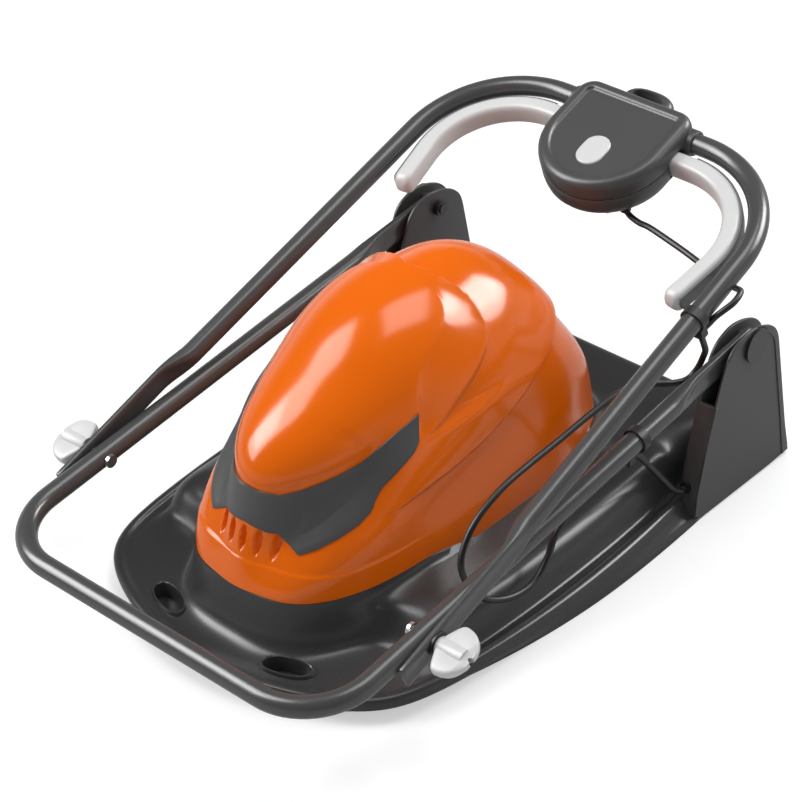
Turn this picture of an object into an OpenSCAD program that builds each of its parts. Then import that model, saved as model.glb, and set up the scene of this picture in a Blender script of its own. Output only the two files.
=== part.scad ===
// Hover mower with its two part handle folded flat over the deck.
// Front is -Y, up is +Z, the ground is z = 0 and the rotor turns about the Z axis.

/* [Deck] */
// Half width of the skirt at the ground
skirt_half = 226; // [220:0.5:230]
// Reach of the skirt in front of the rotor axis
skirt_front = 335; // [325:1:340]
// Reach of the skirt behind the rotor axis
skirt_rear = 298; // [294:1:304]
// Half width of the rim bead
bead_half = 213; // [209:0.5:216]
// Reach of the rim bead in front
bead_front = 345; // [338:1:350]
// Reach of the rim bead behind
bead_rear = 289; // [286:1:290]
// Top of the rim bead above the ground
bead_z = 27; // [25:0.5:30]
// Gutter inside the rim bead
gutter_z = 22.5; // [20:0.5:24]
// Shelf beside the motor hood
shelf_z = 67; // [62:0.5:70]
// Seat of the motor hood
seat_z = 77; // [75:0.5:80]
// Moulded wall of the deck
deck_wall = 3; // [2.5:0.1:3.5]
// Radius of the motor opening
opening_r = 72; // [66:1:76]
// Height of the flat ground rim
rim_h = 7; // [5:0.5:9]

/* [Motor hood] */
// Half width at the seat
hood_half = 115.6; // [112:0.2:118]
// Reach in front of its middle
hood_front = 257.7; // [250:0.5:260]
// Reach behind its middle
hood_rear = 225.3; // [220:0.5:230]
// Squareness of the seat outline
hood_power = 3.1; // [2.6:0.1:3.6]
// Draft of each side up to the belt line
hood_draft = 4.1; // [2:0.1:6]
// Draft of the rear wall up to the belt line
hood_rear_draft = 39; // [30:1:45]
// Half width of the rear dome
dome_half = 115.3; // [112:0.1:117]
// Half length of the rear dome
dome_long = 174.7; // [168:0.1:180]
// Rise of the rear dome
dome_high = 110.6; // [104:0.1:114]
// Half width of the front lobe
visor_half = 83.2; // [78:0.1:88]
// Half length of the front lobe
visor_long = 157; // [150:0.5:160]
// Rise of the front lobe
visor_high = 64.2; // [60:0.1:70]
// Nose down tilt of the front lobe
visor_tilt = 16; // [12:0.5:20]
// Wall of the hood
hood_wall = 3; // [2.4:0.1:3.6]
// Width of the inner seat flange
hood_flange = 16; // [12:0.5:18]
// Thickness of the inner seat flange
hood_flange_h = 6; // [4:0.5:7]
// How far the grey trim stands off the hood
trim_out = 2.2; // [1.5:0.1:3]
// How far the grey trim is let into the hood
trim_in = 1; // [0.6:0.1:1.4]

/* [Handles] */
// Outside diameter of the handle tube
tube_d = 22; // [20:0.5:22.2]
// Wall of the handle tube
tube_wall = 1.6; // [1.2:0.1:2]
// Fold axis along Y
fold_y = -260; // [-264:0.5:-256]
// Fold axis above the ground
fold_z = 110.5; // [108:0.5:113]
// Handle pivot along Y
pivot_y = 245.7; // [243:0.1:248]
// Handle pivot above the ground
pivot_z = 180.6; // [178:0.1:183]
// Legs of the lower handle inside the skirt edge
lower_inset = 15; // [14.8:0.1:15.4]
// Lower handle from the pivot to its front bar
lower_reach = 653.4; // [648:0.1:658]
// Corner radius of the lower handle
lower_corner = 70; // [62:1:76]
// Length of the flattened lower ends
lower_flat = 104; // [98:1:112]
// Thickness of the flattened lower ends
lower_flat_t = 8; // [7:0.5:9]
// Height of the flattened lower ends
lower_flat_h = 28; // [24:1:30]
// Sideways step from the lower legs to the upper legs at the fold axis
leg_step = 11.5; // [11.2:0.1:11.8]
// Inward lean of the upper legs
upper_lean = 1.15; // [1:0.05:1.3]
// Upper handle from the fold axis to its grip bar
upper_reach = 627.2; // [622:0.1:632]
// Bend radius of the upper handle
upper_bend = 119.8; // [116:0.2:122]
// Rise of the folded upper handle
upper_rise = 20.05; // [19.5:0.05:20.5]
// Length of the flattened upper ends
upper_flat = 128; // [120:1:134]
// Overhang of the flat end past the fold axis
upper_tail = 46; // [40:1:48]
// Thickness of the flattened upper ends
upper_flat_t = 7; // [6:0.5:7.5]
// Height of the flattened upper ends
upper_flat_h = 26; // [22:1:28]

/* [Brackets] */
// Inner bracket face from the middle of the lower leg
bracket_near = 10.6; // [10.5:0.1:11.5]
// Outer bracket face from the middle of the lower leg
bracket_far = 13; // [12.6:0.1:14]
// Bracket wall
bracket_wall = 3.5; // [3:0.1:3.8]
// Top of the front web
web_top = 134; // [120:1:138]
// Radius of the pivot bolt
pivot_r = 6; // [5:0.1:6.5]
// Radius of the pivot bolt cap
pivot_cap_r = 19; // [16:0.5:20]
// Depth of the pivot bolt cap
pivot_cap_h = 4; // [3:0.5:5]
// Radius of the pivot nut
pivot_nut_r = 9; // [8:0.5:10]
// Radius of the pivot bushes
bush_r = 10; // [9:0.5:11]

/* [Fold fasteners] */
// Radius of the fold bolt
fold_r = 4; // [3.5:0.1:4.5]
// Radius of the fold bolt head
fold_head_r = 7; // [6:0.5:8]
// Depth of the fold bolt head
fold_head_h = 3.5; // [3:0.5:5]
// Radius of the fold washer
washer_r = 12; // [10:0.5:13]
// Thickness of the fold washer
washer_t = 2; // [1.5:0.1:2.4]
// Radius of the wing nut hub
nut_hub_r = 9; // [8:0.5:11]
// Depth of the wing nut
nut_depth = 38; // [35:1:40]
// Span of each wing from the axis
nut_span = 29; // [26:1:30]
// Thickness of each wing
nut_wing_t = 13; // [10:0.5:15]

/* [Switch box] */
// Half width of the switch box
box_half = 72; // [70:0.5:74]
// Middle of the round front of the box ahead of the grip tube
box_ahead = 49.2; // [48:0.1:51]
// Rear edge of the box behind the grip tube
box_behind = 17.8; // [17:0.1:20]
// Corner radius of the rear edge
box_corner = 20; // [16:1:24]
// Box above the handle plane
box_up = 23; // [22:0.5:25]
// Box below the handle plane
box_down = 27; // [26:0.5:29]
// Wall of the box
box_wall = 3; // [2.4:0.1:3.4]
// Inset of the raised border
border_in = 13; // [11:0.5:15]
// Height of the raised border
border_h = 3; // [2:0.5:3.5]
// Radius of the collar round the tube
collar_r = 15; // [14:0.5:16]
// Width of the collar beside the box
collar_w = 8; // [6:0.5:10]
// Half width of the lock off button
button_r = 15.5; // [14:0.5:16]
// Length of the lock off button
button_l = 42; // [40:1:43]
// Lock off button ahead of the middle of the box
button_ahead = 21; // [19:0.5:23]
// Outer size of the cable hook
hook_r = 14; // [13:0.5:16]
// Half distance between the rounded ends of the cable hook
hook_half = 17; // [15:0.5:19]
// Middle of the cable hook behind the box
hook_off = 9; // [8.5:0.5:12]
// Hole of the cable hook
hook_hole_r = 7; // [6:0.5:8]

/* [Levers] */
// Radius of the lever's run inside the bend
lever_run = 92; // [90:0.1:92.4]
// Depth of the lever towards the tube
lever_t = 20; // [18:0.5:20.5]
// Height of the lever
lever_h = 26; // [24:0.5:26.5]
// Drop of the lever below the handle plane
lever_drop = 8; // [7.5:0.1:8.5]
// Turn of the lever past the side of the bend
lever_turn = 8.2; // [7:0.1:9]
// Length of the lever's free tail
lever_tail = 57; // [52:0.5:60]
// Hinge of the lever from the middle
lever_hinge = 46; // [44:0.5:48]
// Radius of the lever hinge pin
lever_pin_r = 3; // [2.5:0.1:3.5]
// Thickness of the lever liner
liner_t = 2.2; // [1.6:0.1:2.4]
// Height of the lever liner
liner_h = 18; // [15:0.5:19]

/* [Motor and rotor] */
// Radius of the motor mount plate
plate_r = 90; // [86:1:92]
// Thickness of the motor mount plate
plate_t = 4; // [3:0.5:5]
// Outer radius of the motor can
can_r = 50; // [46:1:54]
// Wall of the motor can
can_wall = 3; // [2:0.5:4]
// Height of the motor can
can_h = 84; // [78:1:90]
// Stack height of the stator and rotor cores
stack_h = 50; // [44:1:54]
// Radius of the rotor core
core_r = 30; // [26:1:31]
// Radius of the shaft
shaft_r = 6; // [5:0.5:6.5]
// Radius of the bearings
bearing_r = 13; // [12:0.5:14]
// Radius of the impeller
impeller_r = 125; // [110:1:130]
// Underside of the impeller vanes above the ground
vane_z = 33; // [31:0.5:34]
// Height of the impeller vanes
vane_h = 23; // [20:0.5:24]
// Number of impeller vanes
vane_count = 12; // [8:1:16]
// Blade length
blade_l = 330; // [300:1:340]
// Blade width
blade_w = 48; // [40:1:54]
// Blade thickness
blade_t = 3; // [2.5:0.1:4]
// Underside of the blade above the ground
blade_z = 12; // [11:0.5:14]

/* [Cord] */
// Diameter of the cord
cord_d = 6.6; // [6:0.1:7]

/* [Fits] */
// Radial clearance of turning and bolted fits
run_fit = 0.05; // [0.02:0.01:0.08]
// Gap beside sliding faces
slide_gap = 0.4; // [0.35:0.05:0.6]

/* [Hidden] */
$fn = 48;

charcoal = [0.2, 0.2, 0.21];
orange = [0.9, 0.36, 0.05];
tube_grey = [0.24, 0.24, 0.25];
pale = [0.82, 0.82, 0.82];
steel = [0.7, 0.71, 0.72];
copper = [0.72, 0.45, 0.25];
black = [0.06, 0.06, 0.06];

hood_mid = [0, -30, seat_z];
belt_slope = 0.25;
belt_mid = 195;
belt_top = 218;
dome = [-38.3, 198.6, dome_half, dome_long, dome_high, 4.2, 0.0003];
visor = [-105.4, 221, visor_half, visor_long, visor_high, visor_tilt, 0.0018];
hood_rings = 20;
hood_sides = 60;
deck_sides = 72;
lower_half = skirt_half - lower_inset;
upper_half = lower_half + leg_step;
bracket_in = lower_half - bracket_near;
bracket_out = lower_half + bracket_far;
lower_rise = atan2(pivot_z - fold_z, pivot_y - fold_y);
lower_run = norm([pivot_z - fold_z, pivot_y - fold_y]);
bend_u = upper_reach - upper_bend;
bend_x = upper_half - tan(upper_lean) * bend_u - upper_bend / cos(upper_lean);
leg_end = sin(upper_lean) * (upper_half - bend_x) + cos(upper_lean) * bend_u;
flat_in = lower_half + tube_d / 2 + slide_gap;
flat_out = flat_in + upper_flat_t;
lever_u = bend_u + lever_run;
can_z = seat_z + plate_t;
stack_z = can_z + 14;
blade_top = blade_z + blade_t;
box_mid = upper_reach - box_ahead;
box_back = upper_reach + box_behind;
button_u = box_mid - button_ahead;
screw_x = 30;
screw_u = box_mid - 50;
gland_x = 44;
gland_u = box_mid - 38;
clip_u = bend_u - 77.4;
clip_y = -184;
gland_at = [lower_half - 3, 160, 40];
joint_lap = 0.5;
seam_step = 0.3;

// Bracket side outline, lower front corner first
bracket_line = [[160, 8], [161, 35], [171, 88], [187, 155], [196, 182], [206, 195], [228, 203.5],
    [250, 201], [271, 193], [283, 183], [289, 171], [320, 44], [332, 4], [300, 2], [176, 2]];

// Trim edges as degrees off the front middle and degrees above the seat
trim_upper = [[0, 23.4], [6, 23.6], [12.5, 25.5], [18.5, 28.6], [25, 34], [34, 41.4], [43, 48.5]];
trim_lower = [[0, 15], [6, 13.6], [10, 11.6], [14.5, 11], [18, 13.4], [23, 17], [28, 22], [31, 28],
    [36.5, 34.4], [43, 42]];

// Cord routes: the upper one as shares of the way across from the box gland to the upper leg
// and along from the clip to the gland, the others counted across from the lower leg
upper_route = [[0, 1, -32], [0.034, 0.982, -37], [0.112, 0.955, -38], [0.207, 0.927, -35],
    [0.415, 0.855, -34], [0.549, 0.809, -35], [0.678, 0.745, -33], [0.796, 0.682, -28],
    [0.896, 0.609, -21], [0.964, 0.564, -16], [1.02, 0.518, -9], [1.059, 0.464, -2], [1.076, 0.391, 0],
    [1.076, 0.3, 0], [1.053, 0.209, -2], [1.025, 0.136, -6], [0.997, 0.082, -13], [0.975, 0.036, -18]];
loop_start = [for (n = [-24, -28]) upper_at([upper_half + 4 - clip_u * sin(upper_lean), clip_u, n])];
loop_route = [[4, 162, 220], [0, 172, 206], [-7, 181, 192], [-13, 181, 174], [-18, 172, 163],
    [-23, 154, 165], [-27, 125, 177], [-30, 95, 187], [-31, 70, 192], [-34, 30, 187],
    [-36, -15, 180], [-38, -60, 174], [-39, -100, 167], [-39, -135, 152], [-38, -155, 132],
    [-34, -164, 112], [-27, -158, 88], [-21, -142, 69], [-16, -120, 58], [-13, -95, 54],
    [-13, -72, 58], [-14, -55, 74], [-15, -42, 94], [-15, -20, 107], [-14, 8, 114], [-13, 34, 118]];
loop_end = [for (y = [-16, -11, -5]) lower_at([lower_half - 11.5, clip_y + y, -33])];
lower_start = [for (y = [5, 9]) lower_at([lower_half - 11.5, clip_y + y, -33])];
lower_route = [[-12, 89, 113], [-11, 108, 90], [-9, 128, 65], [-6, 143, 47], [-3, 154, 40]];
lower_end = [gland_at + [0, -3, 0], gland_at];

// Shared shapes

function upper_at(p) = [p[0], fold_y + p[1] * cos(upper_rise) - p[2] * sin(upper_rise),
    fold_z + p[1] * sin(upper_rise) + p[2] * cos(upper_rise)];

function lower_at(p) = [p[0], pivot_y + p[1] * cos(lower_rise) - p[2] * sin(lower_rise),
    pivot_z + p[1] * sin(lower_rise) + p[2] * cos(lower_rise)];

function blend(a, b, s) = let (t = max(0, min(1, (s - a) / (b - a)))) t * t * (3 - 2 * t);

function ring_faces(count, sides, closed) = [
    for (k = [0 : count - (closed ? 1 : 2)])
        for (i = [0 : sides - 1])
            for (t = [0, 1])
                let (n = (k + 1) % count, j = (i + 1) % sides)
                t == 0 ? [k * sides + i, n * sides + i, n * sides + j]
                    : [k * sides + i, n * sides + j, k * sides + j]];

function flat_list(rows) = [for (row = rows) for (p = row) p];

function outline_ratio(p, o) =
    let (side = abs(p[0]) / (o[0] - (p[1] < o[1] ? o[2] : o[3]) * pow(p[1] - o[1], 2)))
    let (front = p[1] < 0 ? -p[1] / (o[4] - o[5] * p[0] * p[0]) : 0)
    let (rear = p[1] > 0 ? p[1] / o[6] : 0)
    pow(pow(side, 14) + pow(front, 14) + pow(rear, 14), 1 / 14);

function outline_r(a, o, lo = 60, hi = 460, n = 22) =
    let (m = (lo + hi) / 2)
    n == 0 ? m
        : outline_ratio([m * cos(a), m * sin(a)], o) < 1 ? outline_r(a, o, m, hi, n - 1)
        : outline_r(a, o, lo, m, n - 1);

function seat_ratio(p) =
    let (reach = p[1] < hood_mid[1] ? hood_front : hood_rear)
    pow(pow(abs(p[0]) / hood_half, hood_power)
        + pow(abs(p[1] - hood_mid[1]) / reach, hood_power), 1 / hood_power);

function seat_r(a, lo = 40, hi = 360, n = 22) =
    let (m = (lo + hi) / 2)
    n == 0 ? m : seat_ratio([m * cos(a), m * sin(a)]) < 1 ? seat_r(a, m, hi, n - 1)
        : seat_r(a, lo, m, n - 1);

module swept(points, radius, sides) {
    last = len(points) - 1;
    tangents = [for (i = [0 : last])
        let (d = points[min(last, i + 1)] - points[max(0, i - 1)]) d / norm(d)];
    normals = carried(tangents, [start_normal(tangents[0])], 1);
    rings = [for (i = [0 : last])
        let (b = cross(tangents[i], normals[i]))
        [for (s = [0 : sides - 1])
            points[i] + radius * (cos(s * 360 / sides) * normals[i] - sin(s * 360 / sides) * b)]];
    polyhedron(flat_list(rings), concat(ring_faces(last + 1, sides, false),
        [[for (s = [0 : sides - 1]) s]],
        [[for (s = [0 : sides - 1]) last * sides + sides - 1 - s]]));
}

function start_normal(t) = let (n = cross(t, abs(t[2]) < 0.8 ? [0, 0, 1] : [1, 0, 0])) n / norm(n);

function carried(t, n, i) =
    i >= len(t) ? n
        : let (m = n[i - 1] - t[i] * (n[i - 1] * t[i])) carried(t, concat(n, [m / norm(m)]), i + 1);

function eased(p) = [
    for (i = [0 : len(p) - 2])
        for (s = [0, 0.5])
            let (a = p[max(0, i - 1)], b = p[i], c = p[i + 1], d = p[min(len(p) - 1, i + 2)])
            0.5 * (2 * b + (c - a) * s + (2 * a - 5 * b + 4 * c - d) * s * s
                + (3 * b - a - 3 * c + d) * s * s * s),
    p[len(p) - 1]];

function beside_leg(route) = eased([for (p = route) p + [lower_half, 0, 0]]);

module slot_2d(radius, length) {
    translate([0, -length / 2 + radius])
        circle(radius);
    translate([0, length / 2 - radius])
        circle(radius);
    translate([-radius, -length / 2 + radius])
        square([2 * radius, length - 2 * radius]);
}

module both_sides() {
    children();
    mirror([1, 0, 0])
        children();
}

module lower_frame() {
    translate([0, pivot_y, pivot_z])
        rotate([lower_rise, 0, 0])
            children();
}

module upper_frame() {
    translate([0, fold_y, fold_z])
        rotate([upper_rise, 0, 0])
            children();
}

module along_x(x0, x1, radius) {
    translate([x0, 0, 0])
        rotate([0, 90, 0])
            cylinder(h = x1 - x0, r = radius);
}

module along_y(y0, y1, radius) {
    translate([0, y0, 0])
        rotate([-90, 0, 0])
            cylinder(h = y1 - y0, r = radius);
}

// Deck

skirt_line = [skirt_half, 45, 0.00055, 0.00025, skirt_front, 0.0019, skirt_rear];
bead_line = [bead_half, -20, 0.00035, 0.00035, bead_front, 0.0019, bead_rear];

// Rows run from the skirt up and inwards, each as side, front and rear [outline, inset, height]
deck_rows = [
    [[0, 0, 1.5], [0, 0, 1.5], [0, 0, 1.5]],
    [[1, 8, 13], [1, 3, 13], [1, 6, 16]],
    [[1, 6, bead_z - 4], [1, 5, bead_z - 5], [1, 3, 34]],
    [[1, 3, bead_z - 0.8], [1, 3, bead_z - 0.8], [1, 0, 50]],
    [[1, -3, bead_z], [1, -2, bead_z], [1, -3, shelf_z - 6]],
    [[1, -8, gutter_z], [1, -8, gutter_z + 1], [1, -8, shelf_z - 1]],
    [[1, -16, gutter_z], [1, -16, gutter_z], [1, -16, shelf_z]],
    [[1, -23, 28], [2, 30, gutter_z + 1], [1, -26, shelf_z]],
    [[1, -29, 48], [2, 16, 28], [1, -38, shelf_z]],
    [[1, -36, shelf_z - 4], [2, 9, 42], [2, 34, shelf_z]],
    [[1, -46, shelf_z], [2, 6, 58], [2, 20, shelf_z]],
    [[2, 8, shelf_z + 2], [2, 4.5, 68], [2, 9, shelf_z + 2]],
    [[2, 3, seat_z], [2, 3, seat_z], [2, 3, seat_z]],
    [[2, -18, seat_z], [2, -18, seat_z], [2, -18, seat_z]],
    [[3, 0, seat_z], [3, 0, seat_z], [3, 0, seat_z]]];

function deck_profile(a) =
    let (ref = [outline_r(a, skirt_line), outline_r(a, bead_line), seat_r(a), opening_r])
    let (wf = blend(0.7, 0.95, -sin(a)), wr = blend(0.7, 0.84, sin(a)), w = [1 - wf - wr, wf, wr])
    [for (row = deck_rows)
        [for (c = [0, 1])
            [for (s = [0 : 2]) c == 0 ? w[s] * (ref[row[s][0]] + row[s][1]) : w[s] * row[s][2]]
            * [1, 1, 1]]];

function deck_inner(p) = [
    for (k = [0 : len(p) - 1])
        let (t = p[min(len(p) - 1, k + 1)] - p[max(0, k - 1)], n = t / norm(t))
        k == 0 ? p[k] - [deck_wall, 0]
            : k == len(p) - 1 ? p[k] - [0, deck_wall]
            : p[k] + deck_wall * [-n[1], n[0]]];

module deck_shell() {
    columns = [for (i = [0 : deck_sides - 1])
        let (a = i * 360 / deck_sides, p = deck_profile(a), q = deck_inner(p))
        [for (v = concat(p, [for (k = [len(q) - 1 : -1 : 0]) q[k]]))
            [v[0] * cos(a), v[0] * sin(a), v[1]]]];
    rows = len(columns[0]);
    color(charcoal)
        polyhedron([for (k = [0 : rows - 1]) for (i = [0 : deck_sides - 1]) columns[i][k]],
            ring_faces(rows, deck_sides, true));
}

module rim_2d(grow) {
    polygon([for (i = [0 : deck_sides - 1])
        let (a = i * 360 / deck_sides, r = outline_r(a, skirt_line) + grow)
        [r * cos(a), r * sin(a)]]);
}

module ground_rim() {
    color(charcoal)
        linear_extrude(height = rim_h)
            difference() {
                rim_2d(0.6);
                rim_2d(-deck_wall - 0.8);
            }
}

// Handle brackets

module bracket_wall_at(x, thickness) {
    translate([x, 0, 0])
        rotate([90, 0, 90])
            linear_extrude(height = thickness)
                polygon(bracket_line);
}

module front_web() {
    translate([bracket_in, 0, 0])
        rotate([90, 0, 90])
            linear_extrude(height = bracket_out - bracket_in)
                polygon([[160, 8], [161, 35], [171, 88], [182, web_top], [186, web_top], [174.5, 88],
                    [164.5, 35], [164, 8]]);
}

module rear_web() {
    translate([bracket_in, 0, 0])
        rotate([90, 0, 90])
            linear_extrude(height = bracket_out - bracket_in)
                polygon([[297, web_top], [320, 44], [332, 4], [328, 3.5], [316.5, 43], [293, web_top]]);
}

module handle_bracket() {
    color(charcoal)
        difference() {
            union() {
                bracket_wall_at(bracket_in, bracket_wall);
                bracket_wall_at(bracket_out - bracket_wall, bracket_wall);
                front_web();
                rear_web();
            }
            translate([0, pivot_y, pivot_z])
                along_x(bracket_in - 5, bracket_out + 5, pivot_r + run_fit);
            translate([0, pivot_y, pivot_z])
                along_x(bracket_out - 1.2, bracket_out + 5, pivot_cap_r + 1.5);
            translate([bracket_in - 1, pivot_y - 3, pivot_z + 11])
                cube([1 + bracket_wall / 2, 6, 40]);
        }
}

module right_handle_bracket() {
    handle_bracket();
}

module left_handle_bracket() {
    mirror([1, 0, 0])
        handle_bracket();
}

module pivot_bolts() {
    color(steel)
        both_sides()
            translate([0, pivot_y, pivot_z]) {
                along_x(bracket_in - 9, bracket_out - 0.5, pivot_r);
                along_x(bracket_out - 1.2, bracket_out - 1.2 + pivot_cap_h, pivot_cap_r);
            }
}

module pivot_nuts() {
    color(steel)
        both_sides()
            translate([0, pivot_y, pivot_z])
                difference() {
                    along_x(bracket_in - 7, bracket_in, pivot_nut_r);
                    along_x(bracket_in - 8, bracket_in + 1, pivot_r + run_fit);
                }
}

module pivot_bushes() {
    near = lower_half - lower_flat_t / 2 - slide_gap;
    far = lower_half + lower_flat_t / 2 + slide_gap;
    color(black)
        both_sides()
            translate([0, pivot_y, pivot_z])
                difference() {
                    union() {
                        along_x(bracket_in + bracket_wall, near, bush_r);
                        along_x(far, bracket_out - bracket_wall, bush_r);
                    }
                    along_x(bracket_in, bracket_out, pivot_r + run_fit);
                }
}

module deck_gland() {
    color(black)
        translate(gland_at)
            along_y(0, 3, 6.5);
}

// Motor hood

function belt_z(y) = min(belt_mid + belt_slope * y, belt_top)
    - 0.0029 * pow(max(0, -212 - y), 2) - 0.0041 * pow(max(0, y - 52.7), 2);

function lobe_ratio(p, q) =
    let (y = p[1] - q[0], z = p[2] - q[1], s = sin(q[5]), c = cos(q[5]))
    let (up = c * z - s * y)
    up > 0 ? norm([p[0] / q[2], (c * y + s * z) / q[3], up / q[4]])
        : norm([p[0] / q[2], y / (q[3] * c)]) / (1 + q[6] * max(0, y * s / c - z));

function wall_ratio(p) =
    let (h = max(0, min(1, (p[2] - seat_z) / 150)))
    let (reach = p[1] > hood_mid[1] ? hood_rear - hood_rear_draft * h : hood_front - 1.7 * h)
    pow(pow(abs(p[0]) / (hood_half - hood_draft * h), hood_power)
        + pow(abs(p[1] - hood_mid[1]) / reach, hood_power), 1 / hood_power);

function belt_ratio(p) = max(0.01, 1 + (p[2] - belt_z(p[1])) / 90);

function body_ratio(p) = pow(pow(wall_ratio(p), 30) + pow(belt_ratio(p), 30), 1 / 30);

function lobes_ratio(p) = pow(pow(lobe_ratio(p, dome), -60) + pow(lobe_ratio(p, visor), -60), -1 / 60);

function hood_ratio(p) = pow(pow(body_ratio(p), -60) + pow(lobes_ratio(p), -60), -1 / 60);

function aim(a, e) = [cos(e) * cos(a), cos(e) * sin(a), sin(e)];

function hood_r(d, lo = 60, hi = 340, n = 20) =
    let (m = (lo + hi) / 2)
    n == 0 ? m : hood_ratio(hood_mid + d * m) < 1 ? hood_r(d, m, hi, n - 1) : hood_r(d, lo, m, n - 1);

function hood_point(a, e) = let (d = aim(a, e)) hood_mid + d * hood_r(d);

function belt_e(a, lo = 0, hi = 80, n = 12) =
    let (m = (lo + hi) / 2, p = hood_point(a, m))
    n == 0 ? m : wall_ratio(p) > belt_ratio(p) ? belt_e(a, m, hi, n - 1) : belt_e(a, lo, m, n - 1);

function ledge_e(a, lo, hi = 85, n = 12) =
    let (m = (lo + hi) / 2, p = hood_point(a, m))
    n == 0 ? m : body_ratio(p) < lobes_ratio(p) ? ledge_e(a, m, hi, n - 1) : ledge_e(a, lo, m, n - 1);

function ring_e(a) =
    let (b = belt_e(a), l = max(b + 2, ledge_e(a, b)))
    [for (k = [0 : hood_rings])
        k < 6 ? b * k / 6 : k < 8 ? b + (l - b) * (k - 6) / 2 : l + (90 - l) * (k - 8) / (hood_rings - 8)];

module motor_hood() {
    tilt = [for (i = [0 : hood_sides - 1]) ring_e(i * 360 / hood_sides)];
    radii = [for (k = [0 : hood_rings])
        [for (i = [0 : hood_sides - 1]) hood_r(aim(i * 360 / hood_sides, tilt[i][k]))]];
    inner = [for (k = [hood_rings - 1 : -1 : 1])
        [for (i = [0 : hood_sides - 1])
            hood_mid + (radii[k][i] - hood_wall) * aim(i * 360 / hood_sides, tilt[i][k])]];
    seat = [for (s = [[-hood_wall - 1, hood_flange_h], [-hood_flange, hood_flange_h], [-hood_flange, 0]])
        [for (i = [0 : hood_sides - 1])
            hood_mid + (radii[0][i] + s[0]) * aim(i * 360 / hood_sides, 0) + [0, 0, s[1]]]];
    outer = [for (k = [0 : hood_rings - 1])
        [for (i = [0 : hood_sides - 1])
            hood_mid + radii[k][i] * aim(i * 360 / hood_sides, tilt[i][k])]];
    rings = concat(inner, seat, outer);
    count = len(rings);
    under = count * hood_sides;
    crown = under + 1;
    points = concat(flat_list(rings), [hood_mid + [0, 0, radii[hood_rings][0] - hood_wall]],
        [hood_mid + [0, 0, radii[hood_rings][0]]]);
    caps = [for (i = [0 : hood_sides - 1]) for (t = [0, 1])
        let (j = (i + 1) % hood_sides, base = (count - 1) * hood_sides)
        t == 0 ? [under, i, j] : [base + i, crown, base + j]];
    color(orange)
        polyhedron(points, concat(ring_faces(count, hood_sides, false), caps));
}

module hood_trim() {
    steps = 28;
    rows = 4;
    patch = [for (side = [0, 1])
        [for (k = [0 : rows])
            [for (i = [0 : steps])
                let (t = 43 * (2 * i / steps - 1), f = side == 0 ? k / rows : 1 - k / rows)
                let (e = (1 - f) * lookup(abs(t), trim_lower) + f * lookup(abs(t), trim_upper))
                let (d = aim(t - 90, e))
                hood_mid + d * (hood_r(d) + (side == 0 ? trim_out : -trim_in))]]];
    rings = concat(patch[0], patch[1]);
    count = len(rings);
    sides = steps + 1;
    strips = [for (k = [0 : count - 1]) for (i = [0 : steps - 1]) for (t = [0, 1])
        let (n = (k + 1) % count)
        t == 0 ? [k * sides + i, n * sides + i, n * sides + i + 1]
            : [k * sides + i, n * sides + i + 1, k * sides + i + 1]];
    ends = [for (k = [0 : rows - 1]) for (t = [0 : 3])
        let (a = k * sides, b = (k + 1) * sides, c = (count - 1 - k) * sides)
        let (d = (count - 2 - k) * sides)
        t == 0 ? [a, c, d] : t == 1 ? [a, d, b]
            : t == 2 ? [a + steps, d + steps, c + steps] : [a + steps, b + steps, d + steps]];
    color(tube_grey)
        polyhedron(flat_list(rings), concat(strips, ends));
}

module hood_screws() {
    color(steel)
        both_sides()
            for (y = [-130, 70])
                translate([104, y, 0]) {
                    translate([0, 0, seat_z - deck_wall - 2.6])
                        cylinder(h = 2.6, r = 4.5);
                    translate([0, 0, seat_z - deck_wall - 1])
                        cylinder(h = deck_wall + hood_flange_h, r = 2);
                }
}

// Motor

module motor_mount_plate() {
    color(steel)
        difference() {
            union() {
                translate([0, 0, seat_z])
                    cylinder(h = plate_t, r = plate_r);
                translate([0, 0, seat_z - 8])
                    cylinder(h = 9, r = bearing_r + 6);
            }
            translate([0, 0, seat_z - 6])
                cylinder(h = plate_t + 10, r = bearing_r + run_fit);
            translate([0, 0, seat_z - 10])
                cylinder(h = 10, r = shaft_r + 3);
            for (a = [45 : 90 : 315])
                rotate([0, 0, a])
                    translate([plate_r - 9, 0, seat_z - 1])
                        cylinder(h = plate_t + 2, r = 2 + run_fit);
        }
}

module plate_screws() {
    color(steel)
        for (a = [45 : 90 : 315])
            rotate([0, 0, a])
                translate([plate_r - 9, 0, 0]) {
                    translate([0, 0, can_z])
                        cylinder(h = 3, r = 4.5);
                    translate([0, 0, seat_z - deck_wall - 2])
                        cylinder(h = deck_wall + plate_t + 3, r = 2);
                }
}

module bearing_at(z) {
    translate([0, 0, z])
        difference() {
            cylinder(h = 9, r = bearing_r);
            translate([0, 0, -1])
                cylinder(h = 11, r = shaft_r + run_fit);
        }
}

module lower_bearing() {
    color(steel)
        bearing_at(seat_z - 6);
}

module upper_bearing() {
    color(steel)
        bearing_at(can_z + can_h);
}

module motor_can() {
    color(steel)
        translate([0, 0, can_z])
            difference() {
                cylinder(h = can_h, r = can_r);
                translate([0, 0, -1])
                    cylinder(h = can_h + 2, r = can_r - can_wall);
            }
}

module stator_core() {
    color(copper)
        translate([0, 0, stack_z])
            difference() {
                cylinder(h = stack_h, r = can_r - can_wall - run_fit);
                translate([0, 0, -1])
                    cylinder(h = stack_h + 2, r = core_r + 1);
            }
}

module upper_end_plate() {
    z = can_z + can_h;
    color(steel)
        difference() {
            union() {
                translate([0, 0, z])
                    cylinder(h = 4, r = can_r);
                translate([0, 0, z])
                    cylinder(h = 12, r = bearing_r + 5);
            }
            translate([0, 0, z - 1])
                cylinder(h = 10, r = bearing_r + run_fit);
            translate([0, 0, z])
                cylinder(h = 20, r = shaft_r + 2);
        }
}

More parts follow.
